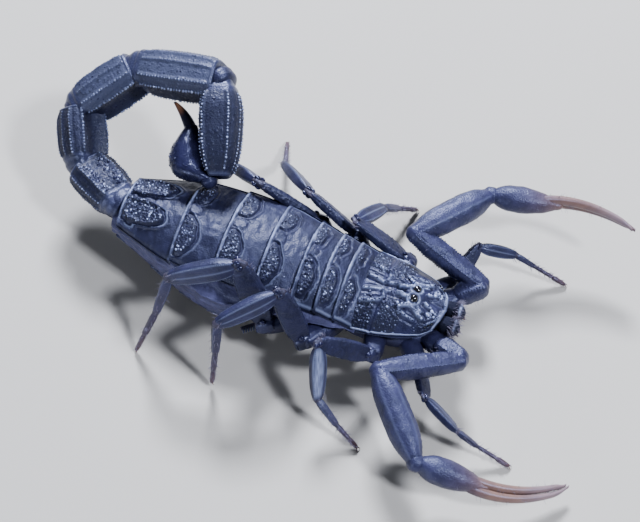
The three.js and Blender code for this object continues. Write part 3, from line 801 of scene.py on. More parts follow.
def carapace():
    top_share = 0.82

    def surface(a, v):
        t, under = over_and_under(a, top_share)
        share = 2 * v - 1
        x, y = carapace_place(t, share)
        top = carapace_height(x, share) + carapace_relief(t, share)[0]
        skirt = np.abs(share) ** 10
        low = HEAD["under"] + 0.1 * (1 - skirt)
        fold = np.sin(math.pi * np.clip(t, 0, 1)) ** 0.15
        return stacked(x, y, np.where(under < 0, top, top + (low - top) * fold))

    def marks(a, v):
        t, under = over_and_under(a, top_share)
        x, y = carapace_place(t, 2 * v - 1)
        _, rough, fine, ridges, rim = carapace_relief(t, 2 * v - 1)
        # Painted highlights on the rim and along the ridges; painted shade between the granules of the rough
        # fields.
        patchy = np.clip(0.75 + 0.7 * lumps(stacked(x, y, y), 0.5, 31), 0, 1)
        return {
            "pale": np.maximum(0.8 * rim, 0.9 * ridges * patchy) * (under < 0),
            "shine": np.clip(fine + ridges, 0, 1),
            "rough_mark": rough * (1 - fine),
        }

    def beads(t, side, sign, radius, pale, sunk=0.3):
        share = sign * side + MIDLINE
        a, v = t * top_share * 2 * math.pi, (share + 1) / 2
        size = radius * rng.uniform(0.6, 1.25, len(t))
        normals = normals_of(surface, a, v)
        points = surface(a, v) - sunk * size[:, None] * normals
        # Painted glints: the strongest rows tint every granule whitish, the others only a few.
        painted_glint = pale * rng.random(len(t)) ** (1 if pale > 0.85 else 4)
        return copies("granules", "bead", points, normals, size, size * 0.95, pale=painted_glint)

    def field(gap, t_low, t_high, side_low, side_high, radius, chance, pale):
        spots = strewn(0, 1, 0, 1, gap / 8.5)
        spots[:, 1] *= 1.9
        t, side = spots[:, 0], spots[:, 1]
        inside = (t > t_low) & (t < t_high) & (side > side_low) & (side < side_high)
        kept = inside & (rng.random(len(t)) < chance)
        return [beads(t[kept], side[kept], sign, radius, pale) for sign in (-1, 1)]

    def row(key, count, radius, pale):
        stops = np.array(HEAD_RIDGES[key][1])
        way = np.linspace(0, len(stops) - 1, count)
        t = np.interp(way, np.arange(len(stops)), stops[:, 0])
        side = np.interp(way, np.arange(len(stops)), stops[:, 1]) + rng.normal(0, 0.01, count)
        return [beads(t, side, sign, radius, pale) for sign in (-1, 1)]

    pieces = [rolled("carapace", surface, 210, 210, marks)]
    for patch in HEAD_FIELDS:
        pieces += field(*patch)
    for line in HEAD_ROWS:
        pieces += row(*line)
    ring = np.linspace(0, 2 * math.pi, 9)[:-1]
    cluster = rng.normal(0, 1, (14, 2))
    for sign in (-1, 1):
        ring_place = (0.875 + 0.036 * np.cos(ring), 0.38 + 0.08 * np.sin(ring))
        cluster_place = (0.835 + 0.016 * cluster[:, 0], 0.42 + 0.045 * cluster[:, 1])
        pieces.append(beads(*ring_place, sign, 0.13, 0.9, 0.1))
        pieces.append(beads(*cluster_place, sign, 0.15, 0.9, 0.1))
        pieces.append(beads(np.array([0.1, 0.13]), np.array([0.22, 0.31]), sign, 0.27, 0.05))
    finished(joined("carapace", pieces), SHELL, "shell", "carapace")


carapace()

# ---------------------------------------------------------------- eyes

SIDE_EYES = 3


def eyeball(name, centre, radius):
    deselect()
    bpy.ops.mesh.primitive_uv_sphere_add(segments=40, ring_count=24, radius=radius)
    ball = bpy.context.object
    ball.name = ball.data.name = name
    move_vertices(ball, vertex_places(ball) + np.asarray(centre))
    return ball


for side_name, side_sign in SIDES:
    centre = (EYE["x"], side_sign * EYE["y"], EYE["z"] - EYE["sunk"])
    finished(eyeball(f"eye_{side_name}", centre, EYE["radius"]), EYE_SHELL, "eye", f"eye_{side_name}")
    for index in range(SIDE_EYES):
        t, share = 0.93 - 0.03 * index, side_sign * (0.74 + 0.035 * index)
        x, y = carapace_place(np.array([t]), np.array([share]))
        z = carapace_height(x, np.array([share])) + 0.1
        ball = eyeball(f"side_eye_{side_name}_{index + 1}", (x[0], y[0], z[0]), 0.14 - 0.02 * index)
        finished(ball, EYE_SHELL, "eye")

# ---------------------------------------------------------------- tail

TRIM = 0.965  # leaves room for the teeth inside the outline


def segment_outline(angle, power, channel):
    """A tail segment's section at an angle from its side: a rounded box with a channel along the back."""
    reach = rounded_box(angle, power)
    y, z = reach * np.cos(angle), reach * np.sin(angle)
    dip = channel * hill(y, 0, 0.5) * (z > 0)
    return y, z * (1 - dip)


# Keels round a segment, by the angle from the side towards the back: (angle, height, tooth size).
KEELS = {
    1: [(57, 0.16, 0.15), (22, 0.12, 0.13), (-8, 0.07, 0.09), (-38, 0.1, 0.1), (-70, 0.08, 0.08)],
    2: [(57, 0.18, 0.17), (23, 0.13, 0.15), (-12, 0.05, 0.07), (-38, 0.1, 0.11), (-70, 0.08, 0.1)],
    3: [(56, 0.2, 0.19), (26, 0.14, 0.16), (-12, 0.06, 0.07), (-38, 0.1, 0.11), (-70, 0.09, 0.1)],
    4: [(56, 0.18, 0.18), (29, 0.13, 0.15), (-16, 0.08, 0.07), (-39, 0.1, 0.11), (-70, 0.09, 0.1)],
    5: [(54, 0.08, 0.12), (38, 0.14, 0.15), (-27, 0.15, 0.16), (-62, 0.08, 0.12), (-90, 0.1, 0.13)],
}
# Scale of a segment's section from its hidden neck to its rear rim.
TAIL_SWELL = {
    1: [0.6, 0.8, 0.82, 0.86, 0.92, 0.98, 0.98, 0.93, 0.85],
    2: [0.6, 0.8, 0.82, 0.86, 0.93, 1.0, 0.98, 0.93, 0.84],
    3: [0.6, 0.8, 0.82, 0.86, 0.94, 1.0, 0.97, 0.92, 0.82],
    4: [0.6, 0.8, 0.82, 0.86, 0.94, 1.0, 0.97, 0.92, 0.82],
    5: [0.5, 0.62, 0.68, 0.76, 0.97, 1.04, 0.9, 0.7, 0.46],
}


def keel_angles(number):
    for angle, height, tooth in KEELS[number]:
        yield math.radians(angle), height, tooth
        if angle > -89:
            yield math.radians(180 - angle), height, tooth


def tail_segment(number, at, axes):
    length, width, depth = TAIL[number - 1][:3]
    power = 2.3 if number == 1 else 3.3
    last = number == 5
    # How strongly faces turned up get a painted sheen.
    sheen = 0.06 if number in (3, 4) else 0.0
    neck_at, body_at = -0.8, 0.75

    def profile(t):
        """Place along the segment and the section's scale, from a hidden neck to the rear rim."""
        ends = [neck_at, neck_at, body_at, length - 0.25, length - 0.05, length - 0.3]
        x = np.interp(t, [0, 0.03, 0.12, 0.94, 0.98, 1], ends)
        shares = np.array([0.2, 0.5, 0.78, 0.92, 1.0])
        places = [neck_at, 0.0, 0.45, body_at, *(shares * length)]
        return x, flow(places, TAIL_SWELL[number], x) * shut_ends(t, 0.03, 0.98)

    def relief(angle, t, x, y, z):
        local = stacked(x, y, z)
        along_body = step(0.14, 0.2, t) * (1 - step(0.9, 0.955, t))
        rise = (0.1 if number == 1 else 0.03) * lumps(local, 0.9, 60 + number)
        ridge = np.zeros_like(x)
        for keel, height, _ in keel_angles(number):
            turn = np.abs((angle - keel + math.pi) % (2 * math.pi) - math.pi)
            ridge = np.maximum(ridge, height * np.exp(-((turn / 0.085) ** 2)))
        rise += ridge * along_body
        rise -= 0.05 * (1 - np.clip(ridge / 0.08, 0, 1)) * along_body
        fine = granules(local, 0.3, 70 + number, 0.5) * along_body
        rise += 0.045 * fine
        rim = hill(t, 0.945, 0.014)
        rise += 0.09 * rim + 0.06 * hill(t, 0.125, 0.016)
        return rise, fine * 0.5, rim, along_body, ridge

    def outline(a, t):
        x, scale = profile(t)
        uy, uz = segment_outline(a, power, 0.3 if number > 1 else 0.16)
        return x, uy * scale * TRIM * width / 2, uz * scale * TRIM * depth / 2, scale

    def surface(a, t):
        x, y, z, scale = outline(a, t)
        rise = relief(a, t, x, y, z)[0] * (scale > 0.4)
        reach = np.hypot(y, z) + 1e-9
        return placed(stacked(x, y * (1 + rise / reach), z * (1 + rise / reach)), axes, at)

    def marks(a, t):
        x, y, z, scale = outline(a, t)
        _, fine, rim, along_body, ridge = relief(a, t, x, y, z)
        smooth_ends = 1 - along_body
        # Painted sheen on faces turned up, painted highlights on the rims, keel tops and smooth ends, and
        # painted shade over the body between the granules, lifted where the sheen falls.
        turned_up = (unit(stacked(0 * a, y, z + 1e-9)) @ axes)[:, 2]
        lit = sheen * step(0.1, 0.85, turned_up)
        ridge_top = np.clip(ridge / 0.12, 0, 1) * along_body
        return {
            "shine": np.clip(fine + 0.3 * smooth_ends, 0, 1),
            "pale": 0.04 * rim + 0.02 * ridge_top + 0.03 * smooth_ends + lit * along_body,
            "rough_mark": (0.9 - 6 * lit) * along_body * (1 - fine),
        }

    body = rolled(f"tail_{number}", surface, 190, int(length / 0.075) + 24, marks)
    teeth = [body]
    for index, (keel, height, tooth) in enumerate(keel_angles(number)):
        count = int(length * 0.8 / 0.33)
        t = np.linspace(0.19, 0.9, count) + rng.normal(0, 0.0035, count)
        if index < 2 and number > 1:
            size = tooth * (0.75 + 0.55 * t**2) * rng.uniform(0.85, 1.15, count)
        else:
            size = tooth * rng.uniform(0.7, 1.1, count)
        a = np.full(count, keel) + rng.normal(0, 0.008, count)
        points, normals = surface(a, t), normals_of(surface, a, t)
        lean = unit(normals + 0.35 * axes[0])
        points = points + 0.05 * size[:, None] * normals
        # Painted glints: the teeth are tinted whitish, most on the last segment.
        pale = rng.uniform(0.1, 0.75 if last else 0.4, count)
        teeth.append(copies("teeth", "round_bead", points, lean, size * 0.72, size * 0.85, pale=pale))
    scattered = 260 + 30 * number
    a, t = rng.uniform(0, 2 * math.pi, scattered), rng.uniform(0.2, 0.9, scattered)
    size = rng.uniform(0.035, 0.075, scattered)
    teeth.append(copies("grains", "bead", surface(a, t), normals_of(surface, a, t), size, size))
    if number == 1:
        # The first segment's back carries two bands of larger, shinier granules, a few with painted glints.
        count = 130
        a = np.radians(90 + rng.choice([-1, 1], count) * rng.normal(22, 7, count))
        t = rng.uniform(0.2, 0.85, count)
        size = rng.uniform(0.08, 0.17, count)
        pale = 0.9 * rng.random(count) ** 5
        normals = normals_of(surface, a, t)
        teeth.append(copies("grains", "bead", surface(a, t), normals, size, size * 0.7, pale=pale))
    finished(joined(f"tail_{number}", teeth), SHELL, "shell", f"tail_{number}")


def ball_joint(name, centre, radii, axes, material, slot, squeeze=0.06):
    """Folded skin that closes a joint: an egg with creases round it."""

    def surface(a, t):
        x = -np.cos(math.pi * t)
        ring = np.sin(math.pi * t) * (1 + squeeze * np.sin(22 * t))
        local = stacked(radii[0] * x, radii[1] * ring * np.cos(a), radii[2] * ring * np.sin(a))
        return placed(local, axes, centre)

    finished(rolled(name, surface, 28, 24), material, slot)


at = TAIL_START.copy()
way_before = np.array([-1.0, 0.0, 0.0])
for number, (length, width, depth, heading, pitch, roll) in enumerate(TAIL, 1):
    forward = direction(heading, pitch)
    axes = facing(forward, np.cross(forward, TAIL_SIDE), -roll)
    tail_segment(number, at, axes)
    halfway = unit(forward + way_before)
    joint_axes = facing(halfway, np.cross(halfway, TAIL_SIDE), -roll)
    radii = (1.35, width * 0.38, depth * 0.38)
    ball_joint(f"tail_joint_{number}", at, radii, joint_axes, SHELL, "shell", 0.03)
    at = at + forward * length
    way_before = forward
last_forward, last_up = forward, unit(np.cross(forward, TAIL_SIDE))


def telson(neck):
    forward = direction(VESICLE["heading"], VESICLE["pitch"])
    axes = facing(forward, np.cross(forward, TAIL_SIDE))
    length, width, depth = (VESICLE[key] for key in ("length", "width", "depth"))
    stations = np.array([-0.25, 0.0, 0.16, 0.42, 0.7, 0.9, 1.06]) * length

    def bulb(a, t):
        x = np.interp(t, [0, 0.04, 0.97, 1], [0.0, 0.02, length + 0.45, length + 0.45])
        scale = flow(stations, [0.35, 0.62, 1.0, 1.08, 0.98, 0.72, 0.44], x)
        sink = flow(stations, [0, -0.1, -1.35, -2.15, -1.95, -1.5, -1.1], x)
        section = scale * shut_ends(t, 0.04, 0.97)
        local = stacked(x, section * width / 2 * np.cos(a), sink + section * depth / 2 * np.sin(a))
        outward = stacked(0 * a, np.cos(a), np.sin(a)) @ axes
        wave = 0.03 * lumps(local, 0.8, 90) * shut_ends(t, 0.04, 0.97)
        return placed(local, axes, neck) + outward * wave[:, None]

    body = rolled("vesicle", bulb, 120, 110, lambda a, t: {"shine": 0.8})
    count = 150
    a = np.radians(rng.normal(-90, 48, count))
    t = rng.uniform(0.12, 0.75, count)
    size = rng.uniform(0.05, 0.11, count)
    grains = copies("grains", "round_bead", bulb(a, t), normals_of(bulb, a, t), size, size * 0.8)
    finished(joined("vesicle", [body, grains]), SHELL, "shell", "vesicle")

    tip_axes = facing(direction(STING["heading"], STING["pitch"]), axes[2])
    root = placed(np.array([length, 0, -STING_DROP]), axes, neck)

    def aculeus(a, t):
        x = -0.5 + STING["length"] * t
        s = np.clip(x / STING["length"], 0, 1)
        thick = (STING["width"] / 2) * (1 - s**1.8) + 0.02
        thick = thick * shut_ends(t, 0.05, 0.985)
        local = stacked(x, thick * np.cos(a), thick * np.sin(a) - STING["hook"] * s * s)
        return placed(local, tip_axes, root)

    def marks(a, t):
        return {"brown": 0.9 * step(0.5, 0.7, t) * (1 - step(0.9, 0.98, t))}

    finished(rolled("sting", aculeus, 40, 60, marks), STING_SHELL, "sting", "sting")
    ball_joint("telson_joint", neck, (0.8, 0.95, 0.85), axes, SHELL, "shell", 0.04)


telson(at + 0.25 * last_forward + VESICLE_OFFSET * last_up)

# ---------------------------------------------------------------- limbs


def capsule(t, start, end, dome):
    """Place along a limb link and the scale of its section, with a dome at each end."""
    share = 0.1
    first = np.clip(t / share, 0, 1) * math.pi / 2
    final = np.clip((1 - t) / share, 0, 1) * math.pi / 2
    middle = np.clip((t - share) / (1 - 2 * share), 0, 1)
    x = start + (end - start) * middle - dome * np.cos(first) + dome * np.cos(final)
    return x, np.sin(first) * np.sin(final)


def keel_lift(a, keels):
    """How far keels lift a section: `keels` lists (angle in degrees, height, breadth in degrees)."""
    raised = np.zeros_like(a)
    for angle, height, breadth in keels:
        turn = np.abs((a - math.radians(angle) + math.pi) % (2 * math.pi) - math.pi)
        raised = np.maximum(raised, height * np.exp(-((turn / math.radians(breadth)) ** 2)))
    return raised


def four(angle, height, breadth):
    """The same keel at each of a section's four corners."""
    return [(turn, height, breadth) for turn in (angle, 180 - angle, -angle, angle - 180)]


def limb_link(name, at, axes, length, width, height, swell, seed, power=2.5, keels=(), wave=0.02, around=56,
              brown=(0, 0), fade=1, grain=0.0, painted_keel_highlight=0.1, overlap=0.12, painted_highlight=0.0, dim=0.0):
    """A limb link as a rolled piece, and the function that gives its surface."""
    places = np.array([0.0, 0.22, 0.5, 0.8, 1.0]) * length
    start, end = overlap * height, length - overlap * height

    def along_body(t):
        return step(0.08, 0.2, t) * (1 - step(0.82, 0.93, t))

    def surface(a, t):
        x, shut = capsule(t, start, end, 0.25 * height)
        scale = flow(places, swell, np.clip(x, 0, length)) * shut
        reach = rounded_box(a, power)
        body = along_body(t)
        y, z = np.cos(a) * reach, np.sin(a) * reach
        local = stacked(x, scale * y * width / 2, scale * z * height / 2)
        lift = keel_lift(a, keels) * body + wave * lumps(local, 0.8, seed) * shut
        if grain:
            lift = lift + 0.5 * grain * granules(local, grain * 2.2, seed + 3, 0.6) * body
        local[:, 1] += lift * np.cos(a)
        local[:, 2] += lift * np.sin(a)
        return placed(local, axes, at)

    def marks(a, t):
        body = along_body(t)
        # Painted highlights along the keels, and where asked a streaky painted highlight on the face towards
        # the light.
        top = max([rise for _, rise, _ in keels], default=1)
        pale = painted_keel_highlight * keel_lift(a, keels) / top * body
        if painted_highlight:
            streaks = lumps(stacked(0.3 * t * length, width * np.cos(a), height * np.sin(a)), 0.17, seed + 8)
            upper = step(0.55, 1.0, np.cos(a - math.radians(20)))
            pale = np.maximum(pale, painted_highlight * upper * body * np.clip(0.85 + 0.7 * streaks, 0, 1.4))
        browned = brown[0] + (brown[1] - brown[0]) * t**fade
        return {"brown": browned, "pale": pale, "shine": 0.5 * (1 - body), "rough_mark": dim}

    return rolled(name, surface, around, int(length / 0.09) + 24, marks), surface


def keel_beads(surface, angle, spacing, length, size, span=(0.14, 0.86), kind="bead"):
    count = max(3, int(length / spacing))
    t = np.linspace(*span, count)
    a = np.full(count, math.radians(angle))
    radii = size * rng.uniform(0.75, 1.15, count)
    return copies("beads", kind, surface(a, t), normals_of(surface, a, t), radii, radii)


def hairs(surface, count, a_range, t_range, length, lean, axes, thick=0.028):
    """Bristles that stand out of a link and lean along it."""
    a = np.radians(rng.uniform(*a_range, count))
    t = rng.uniform(*t_range, count)
    normals = unit(normals_of(surface, a, t) + lean * axes[0] + rng.normal(0, 0.12, (count, 3)))
    sizes = length * rng.uniform(0.6, 1.2, count)
    return copies("hairs", "hair", surface(a, t), normals, thick, sizes, brown=0.6, pale=0.25)


def condyles(at, axes, y, z, size):
    """The pair of shiny knobs on which two links hinge."""
    spots = placed(np.array([[0, -y, z], [0, y, z]]), axes, at)
    normals = np.array([-axes[1], axes[1]])
    return copies("knobs", "round_bead", spots, normals, size, size * 0.7)


CORNER_KEELS = four(45, 0.05, 4)
CORNERS = [angle for angle, _, _ in CORNER_KEELS]
HIP_LENGTH = 2.1


def leg(side_name, number):
    femur, patella, shin, foot, broad = LEG_LINKS[number - 1]
    hip, femur_aim, patella_aim, shin_aim, foot_heading = LEG_POSE[side_name][number - 1]
    hip = np.array(hip)
    thick = 0.45 * broad
    ways = [direction(*femur_aim), direction(*patella_aim), direction(*shin_aim)]
    hinge = np.cross(ways[0], ways[1])
    axes = [facing(way, np.cross(way, hinge)) for way in ways]
    knee = hip + femur * ways[0]
    shin_top = knee + patella * ways[1]
    ankle = shin_top + shin * ways[2]
    fall = math.asin(np.clip(-(ankle[2] - 0.25) / foot, -0.97, -0.1))
    foot_way = direction(foot_heading, math.degrees(fall))
    foot_axes = facing(foot_way, np.array([0, 0, 1.0]))
    tag = f"leg_{side_name}_{number}"
    seed = 200 + 10 * number + (side_name == "left") * 50

    hip_link, hip_surface = limb_link(
        "trochanter", hip - 0.95 * ways[0], axes[0], HIP_LENGTH, thick * 1.35, broad * 0.82,
        [0.8, 1.0, 1.0, 0.92, 0.8], seed + 7, power=2.6, keels=CORNER_KEELS, wave=0.08, overlap=0.3,
    )
    thigh, thigh_surface = limb_link(
        "femur", hip, axes[0], femur, thick, broad, [0.5, 0.92, 1.0, 0.88, 0.66], seed,
        power=4.0, keels=CORNER_KEELS, painted_keel_highlight=0.02, grain=0.14, dim=0.35,
    )
    parts = [thigh, hip_link, condyles(knee, axes[0], thick * 0.36, 0, 0.3 * thick)]
    parts.append(condyles(hip + 0.9 * ways[0], axes[0], thick * 0.5, 0, 0.32))
    parts += [keel_beads(hip_surface, angle, 0.25, HIP_LENGTH, 0.09, (0.25, 0.75)) for angle in CORNERS]
    parts += [keel_beads(thigh_surface, angle, 0.2, femur, 0.055) for angle in CORNERS]
    parts.append(hairs(thigh_surface, 8, (60, 120), (0.85, 0.95), 0.6, 0.6, axes[0]))
    finished(joined(f"{tag}_femur", parts), LEG_SHELL, "leg_shell", f"{tag}_femur")

    # The right second leg's patella gets a painted highlight on its face towards the light.
    calf, calf_surface = limb_link(
        "patella", knee, axes[1], patella, thick * 1.05, broad * 0.85, [0.42, 0.9, 1.0, 0.86, 0.6], seed + 1,
        power=4.0, keels=CORNER_KEELS + [(0, 0.035, 5), (180, 0.035, 5)], painted_keel_highlight=0.22,
        painted_highlight=0.4 if tag == "leg_right_2" else 0.0,
    )
    parts = [calf, condyles(knee + 0.1 * ways[1], axes[1], thick * 0.3, broad * 0.2, 0.32 * thick)]
    parts += [keel_beads(calf_surface, angle, 0.22, patella, 0.045) for angle in CORNERS]
    parts.append(hairs(calf_surface, 8, (-130, 130), (0.82, 0.95), 0.7, 0.5, axes[1]))
    finished(joined(f"{tag}_patella", parts), LEG_SHELL, "leg_shell", f"{tag}_patella")

    slim = broad * 0.44
    tibia, tibia_surface = limb_link(
        "tibia", shin_top, axes[2], shin, slim * 0.72, slim * 0.95, [0.8, 1.0, 0.95, 0.85, 0.75], seed + 2,
        power=3.2, keels=CORNER_KEELS, around=40, brown=(0.0, 0.08),
    )
    heel = 0.56 * foot
    basitarsus, heel_surface = limb_link(
        "basitarsus", ankle, foot_axes, heel, slim * 0.56, slim * 0.62, [0.8, 1.0, 0.95, 0.95, 0.9], seed + 3,
        around=36, brown=(0.08, 0.2),
    )
    toe_root = ankle + heel * foot_way
    toe = foot - heel - 0.15
    telotarsus, toe_surface = limb_link(
        "telotarsus", toe_root, foot_axes, toe, FOOT * 0.8, FOOT * 0.85, [0.75, 1.0, 1.0, 0.9, 0.7], seed + 4,
        around=32, brown=(0.2, 0.45),
    )
    parts = [tibia, basitarsus, telotarsus]
    parts.append(hairs(tibia_surface, 22, (0, 360), (0.3, 0.95), 0.5, 0.7, axes[2]))
    parts.append(hairs(heel_surface, 40, (0, 360), (0.15, 0.95), 0.42, 0.8, foot_axes))
    parts.append(hairs(toe_surface, 34, (0, 360), (0.15, 0.95), 0.3, 0.9, foot_axes, 0.022))
    for turn in (-1, 1):
        parts.append(claw(toe_root + toe * foot_way, foot_axes, turn))
    whole = joined(f"{tag}_tarsus", parts)
    places = vertex_places(whole)
    places[:, 2] = np.maximum(places[:, 2], 0.0)
    move_vertices(whole, places)
    finished(whole, LEG_SHELL, "leg_shell", f"{tag}_tarsus")

    halfway = unit(ways[0] + ways[1])
    skins = [
        ("knee", knee, (broad * 0.34, thick * 0.36, broad * 0.3), facing(halfway, np.cross(halfway, hinge))),
        ("shin", shin_top, (slim * 0.5, slim * 0.38, slim * 0.5), axes[2]),
        ("ankle", ankle, (slim * 0.45, slim * 0.3, slim * 0.34), foot_axes),
    ]
    for joint, centre, radii, joint_axes in skins:
        ball_joint(f"{tag}_{joint}_skin", centre, radii, joint_axes, JOINT_SKIN, "membrane")


def claw(tip, axes, turn):
    """One of the two hooked claws at the end of a foot."""

    def surface(a, t):
        thick = 0.085 * (1 - 0.85 * t) * shut_ends(t, 0.1, 0.96)
        y = turn * (0.07 + 0.16 * t) + thick * np.cos(a)
        z = 0.05 - 0.25 * t * t + thick * np.sin(a)
        return placed(stacked(0.42 * t, y, z), axes, tip)

    return rolled("claw", surface, 10, 12, lambda a, t: {"brown": 0.8, "shine": 1.0})


for side_name, _ in SIDES:
    for number in range(1, len(LEG_LINKS) + 1):
        leg(side_name, number)

# ---------------------------------------------------------------- pincers


DENTICLES = 66
# Each link's section along its length, how square it is, and its keels.
PALP_SHAPE = {
    "trochanter": ([0.85, 0.98, 1.0, 1.0, 0.92], 2.5, four(60, 0.07, 7)),
    "femur": ([0.84, 0.96, 1.05, 1.02, 0.86], 2.2, four(50, 0.06, 4)[:2] + four(50, 0.07, 4)[2:]),
    "patella": ([0.66, 0.99, 1.07, 0.95, 0.52], 2.15, four(55, 0.04, 5) + [(0, 0.02, 5), (180, 0.02, 5)]),
    "hand": ([0.42, 0.93, 1.0, 0.72, 0.36], 2.05, []),
}
PALP_GRAIN = {"trochanter": 0.13, "femur": 0.13, "patella": 0.08, "hand": 0.04}


def finger_path(grip, sign, outer, t):
    """The middle line and thickness of a finger: `outer` is 1 for the movable one, -1 for the fixed one."""
    width, height = FINGER["width"] * (1 - 0.45 * t**2), FINGER["height"] * (1 - 0.45 * t**2)
    apart = outer * width * 0.44
    tilt = math.radians(grip["stack"])
    start = PALP_LINKS["hand"][0] - 0.6 + (0.3 if outer > 0 else 0.0)
    x = start + t * FINGER["length"]
    y = sign * (apart * math.cos(tilt) - grip["inward"] * t + 4 * FINGER["bow"] * t * (1 - t))
    z = -apart * math.sin(tilt)
    return x, y, z, width, height


def finger(name, grip, sign, outer, axes, at):
    tilt = math.radians(grip["stack"])

    def surface(a, t):
        s = np.clip((t - 0.03) / 0.94, 0, 1)
        x, y, z, width, height = finger_path(grip, sign, outer, s)
        hook = step(0.86, 1.0, s)
        root = np.sin(np.clip(t / 0.1, 0, 1) * math.pi / 2)
        shut = np.interp(t, [0.975, 1], [1, 0]) * (1 - 0.4 * hook) * root
        inward = -outer * 0.22 * hook
        y = y + sign * inward * math.cos(tilt) + shut * width / 2 * np.cos(a)
        z = z - inward * math.sin(tilt) + shut * height / 2 * np.sin(a)
        x = x - 0.25 * np.interp(t, [0.9, 1], [0, 1])
        return placed(stacked(x, y, z), axes, at)

    def marks(a, t):
        browned = 0.45 + 0.5 * step(0.08, 0.3, t)
        tip = step(0.94, 0.99, t)
        pale = 0.09 * step(0.45, 0.8, t) * (1 - tip)
        return {"brown": browned, "pale": pale, "shine": 0.2, "rough_mark": 0.7 * tip}

    body = rolled(name, surface, 40, 120, marks)
    # The cutting edge: rows of small denticles with a larger one between rows.
    edge = math.atan2(outer * math.sin(tilt), -outer * sign * math.cos(tilt))
    t = np.linspace(0.08, 0.93, DENTICLES)
    a = np.full(DENTICLES, edge)
    size = np.where(np.arange(DENTICLES) % 6 == 0, 0.07, 0.042)
    teeth = copies("denticles", "bead", surface(a, t), normals_of(surface, a, t), size, size * 1.3, brown=0.7)
    return [body, teeth, hairs(surface, 26, (0, 360), (0.1, 0.95), 0.55, 0.3, axes, 0.02)]


def palp(side_name, sign):
    grip = GRIP[side_name]
    at = np.array(PALP_START[side_name])
    for i, (part, (length, width, height)) in enumerate(PALP_LINKS.items()):
        swell, power, keels = PALP_SHAPE[part]
        hand = part == "hand"
        axes = facing(direction(*PALP_AIM[side_name][i]), np.array([0, 0, 1.0]))
        name = f"palp_{side_name}_{part}"
        body, surface = limb_link(
            name, at, axes, length * (1.3 if hand else 1.0), width, height, swell,
            300 + 10 * i + (sign > 0) * 50, power=power, keels=keels, around=84,
            brown=(0, 0.95 if hand else 0), fade=4, painted_keel_highlight=0.06, overlap=0.0, wave=0.06,
            grain=PALP_GRAIN[part],
        )
        parts = [body]
        for angle, _, _ in keels if part != "patella" else ():
            parts.append(keel_beads(surface, angle, 0.26, length, 0.08, (0.12, 0.88), "round_bead"))
        if part in ("femur", "patella"):
            knob_side = width * (0.4 if part == "femur" else 0.24)
            parts.append(condyles(at + length * axes[0], axes, knob_side, 0, 0.34))
        parts.append(hairs(surface, 14, (0, 360), (0.15, 0.9), 0.5, 0.2, axes, 0.02))
        finished(joined(name, parts), PINCER, "pincer_shell", name)
        radii = (width * 0.34, width * 0.34, height * 0.34)
        ball_joint(f"{name}_joint", at, radii, axes, PINCER, "pincer_shell", 0.03)
        if hand:
            moving = joined(f"palp_{side_name}_finger", finger("moving", grip, sign, 1, axes, at))
            finished(moving, FINGER_SHELL, "finger_shell", f"palp_{side_name}_finger")
            fixed = joined(f"palp_{side_name}_fixed_finger", finger("fixed", grip, sign, -1, axes, at))
            finished(fixed, FINGER_SHELL, "finger_shell", name)
        at = at + length * axes[0]


for side_name, side_sign in SIDES:
    palp(side_name, side_sign)

# ---------------------------------------------------------------- mouth


def chelicera(side_name, sign):
    size = CHELICERA
    root = np.array([size["x"], sign * size["y"], size["z"]])
    axes = facing(np.array([1.0, 0, 0]), np.array([0, 0, 1.0]))
    body, surface = limb_link(
        "chelicera", root, axes, size["length"], size["width"], size["height"], [0.9, 1.0, 1.0, 0.96, 0.7],
        400, power=2.6, around=72, grain=0.12,
    )

    from_root = vertex_places(body) - root
    # A painted highlight arcs across the top of each jaw near its front end, strong on the left jaw and faint
    # on the right; the rest of the jaw is marked darker and duller.
    arc = hill(from_root[:, 0], 1.5, 0.09) * step(0.1, 0.6, from_root[:, 2])
    mark(body, "pale", (0.9 if sign > 0 else 0.25) * arc)
    mark(body, "rough_mark", 1.0 - arc)

    def claw_piece(shift, droop, reach):
        def claw_surface(a, t):
            thick = 0.38 * (1 - 0.75 * t) * shut_ends(t, 0.08, 0.95)
            y = -sign * shift * t + thick * np.cos(a)
            z = droop - 0.75 * t * t + 0.85 * thick * np.sin(a)
            return placed(stacked(1.2 + reach * t, y, z), axes, root)

        return rolled("jaw", claw_surface, 28, 24, lambda a, t: {"brown": 0.15 + 0.3 * t, "shine": 0.6})

    parts = [body, claw_piece(0.15, 0.0, 0.95), claw_piece(-0.15, -0.45, 0.8)]
    parts.append(hairs(surface, 170, (0, 360), (0.45, 0.97), 0.62, 1.0, axes, 0.026))
    finished(joined(f"chelicera_{side_name}", parts), JAW_SHELL, "shell", f"chelicera_{side_name}")


for side_name, side_sign in SIDES:
    chelicera(side_name, side_sign)

# ---------------------------------------------------------------- soft sides and belly


TRUNK_REAR, TRUNK_FRONT = -22.5, 5.4
SKIN_ENDS = [0, 0.02, 0.985, 1]
# Rear and front of each belly plate, from the last to the first.
BELLY_PLATES = [(-21.9, -17.2), (-17.4, -13.4), (-13.6, -9.9), (-10.1, -6.6), (-6.8, -4.0)]


def trunk(column, x):
    return flow(BELLY[:, 0], BELLY[:, column], x)


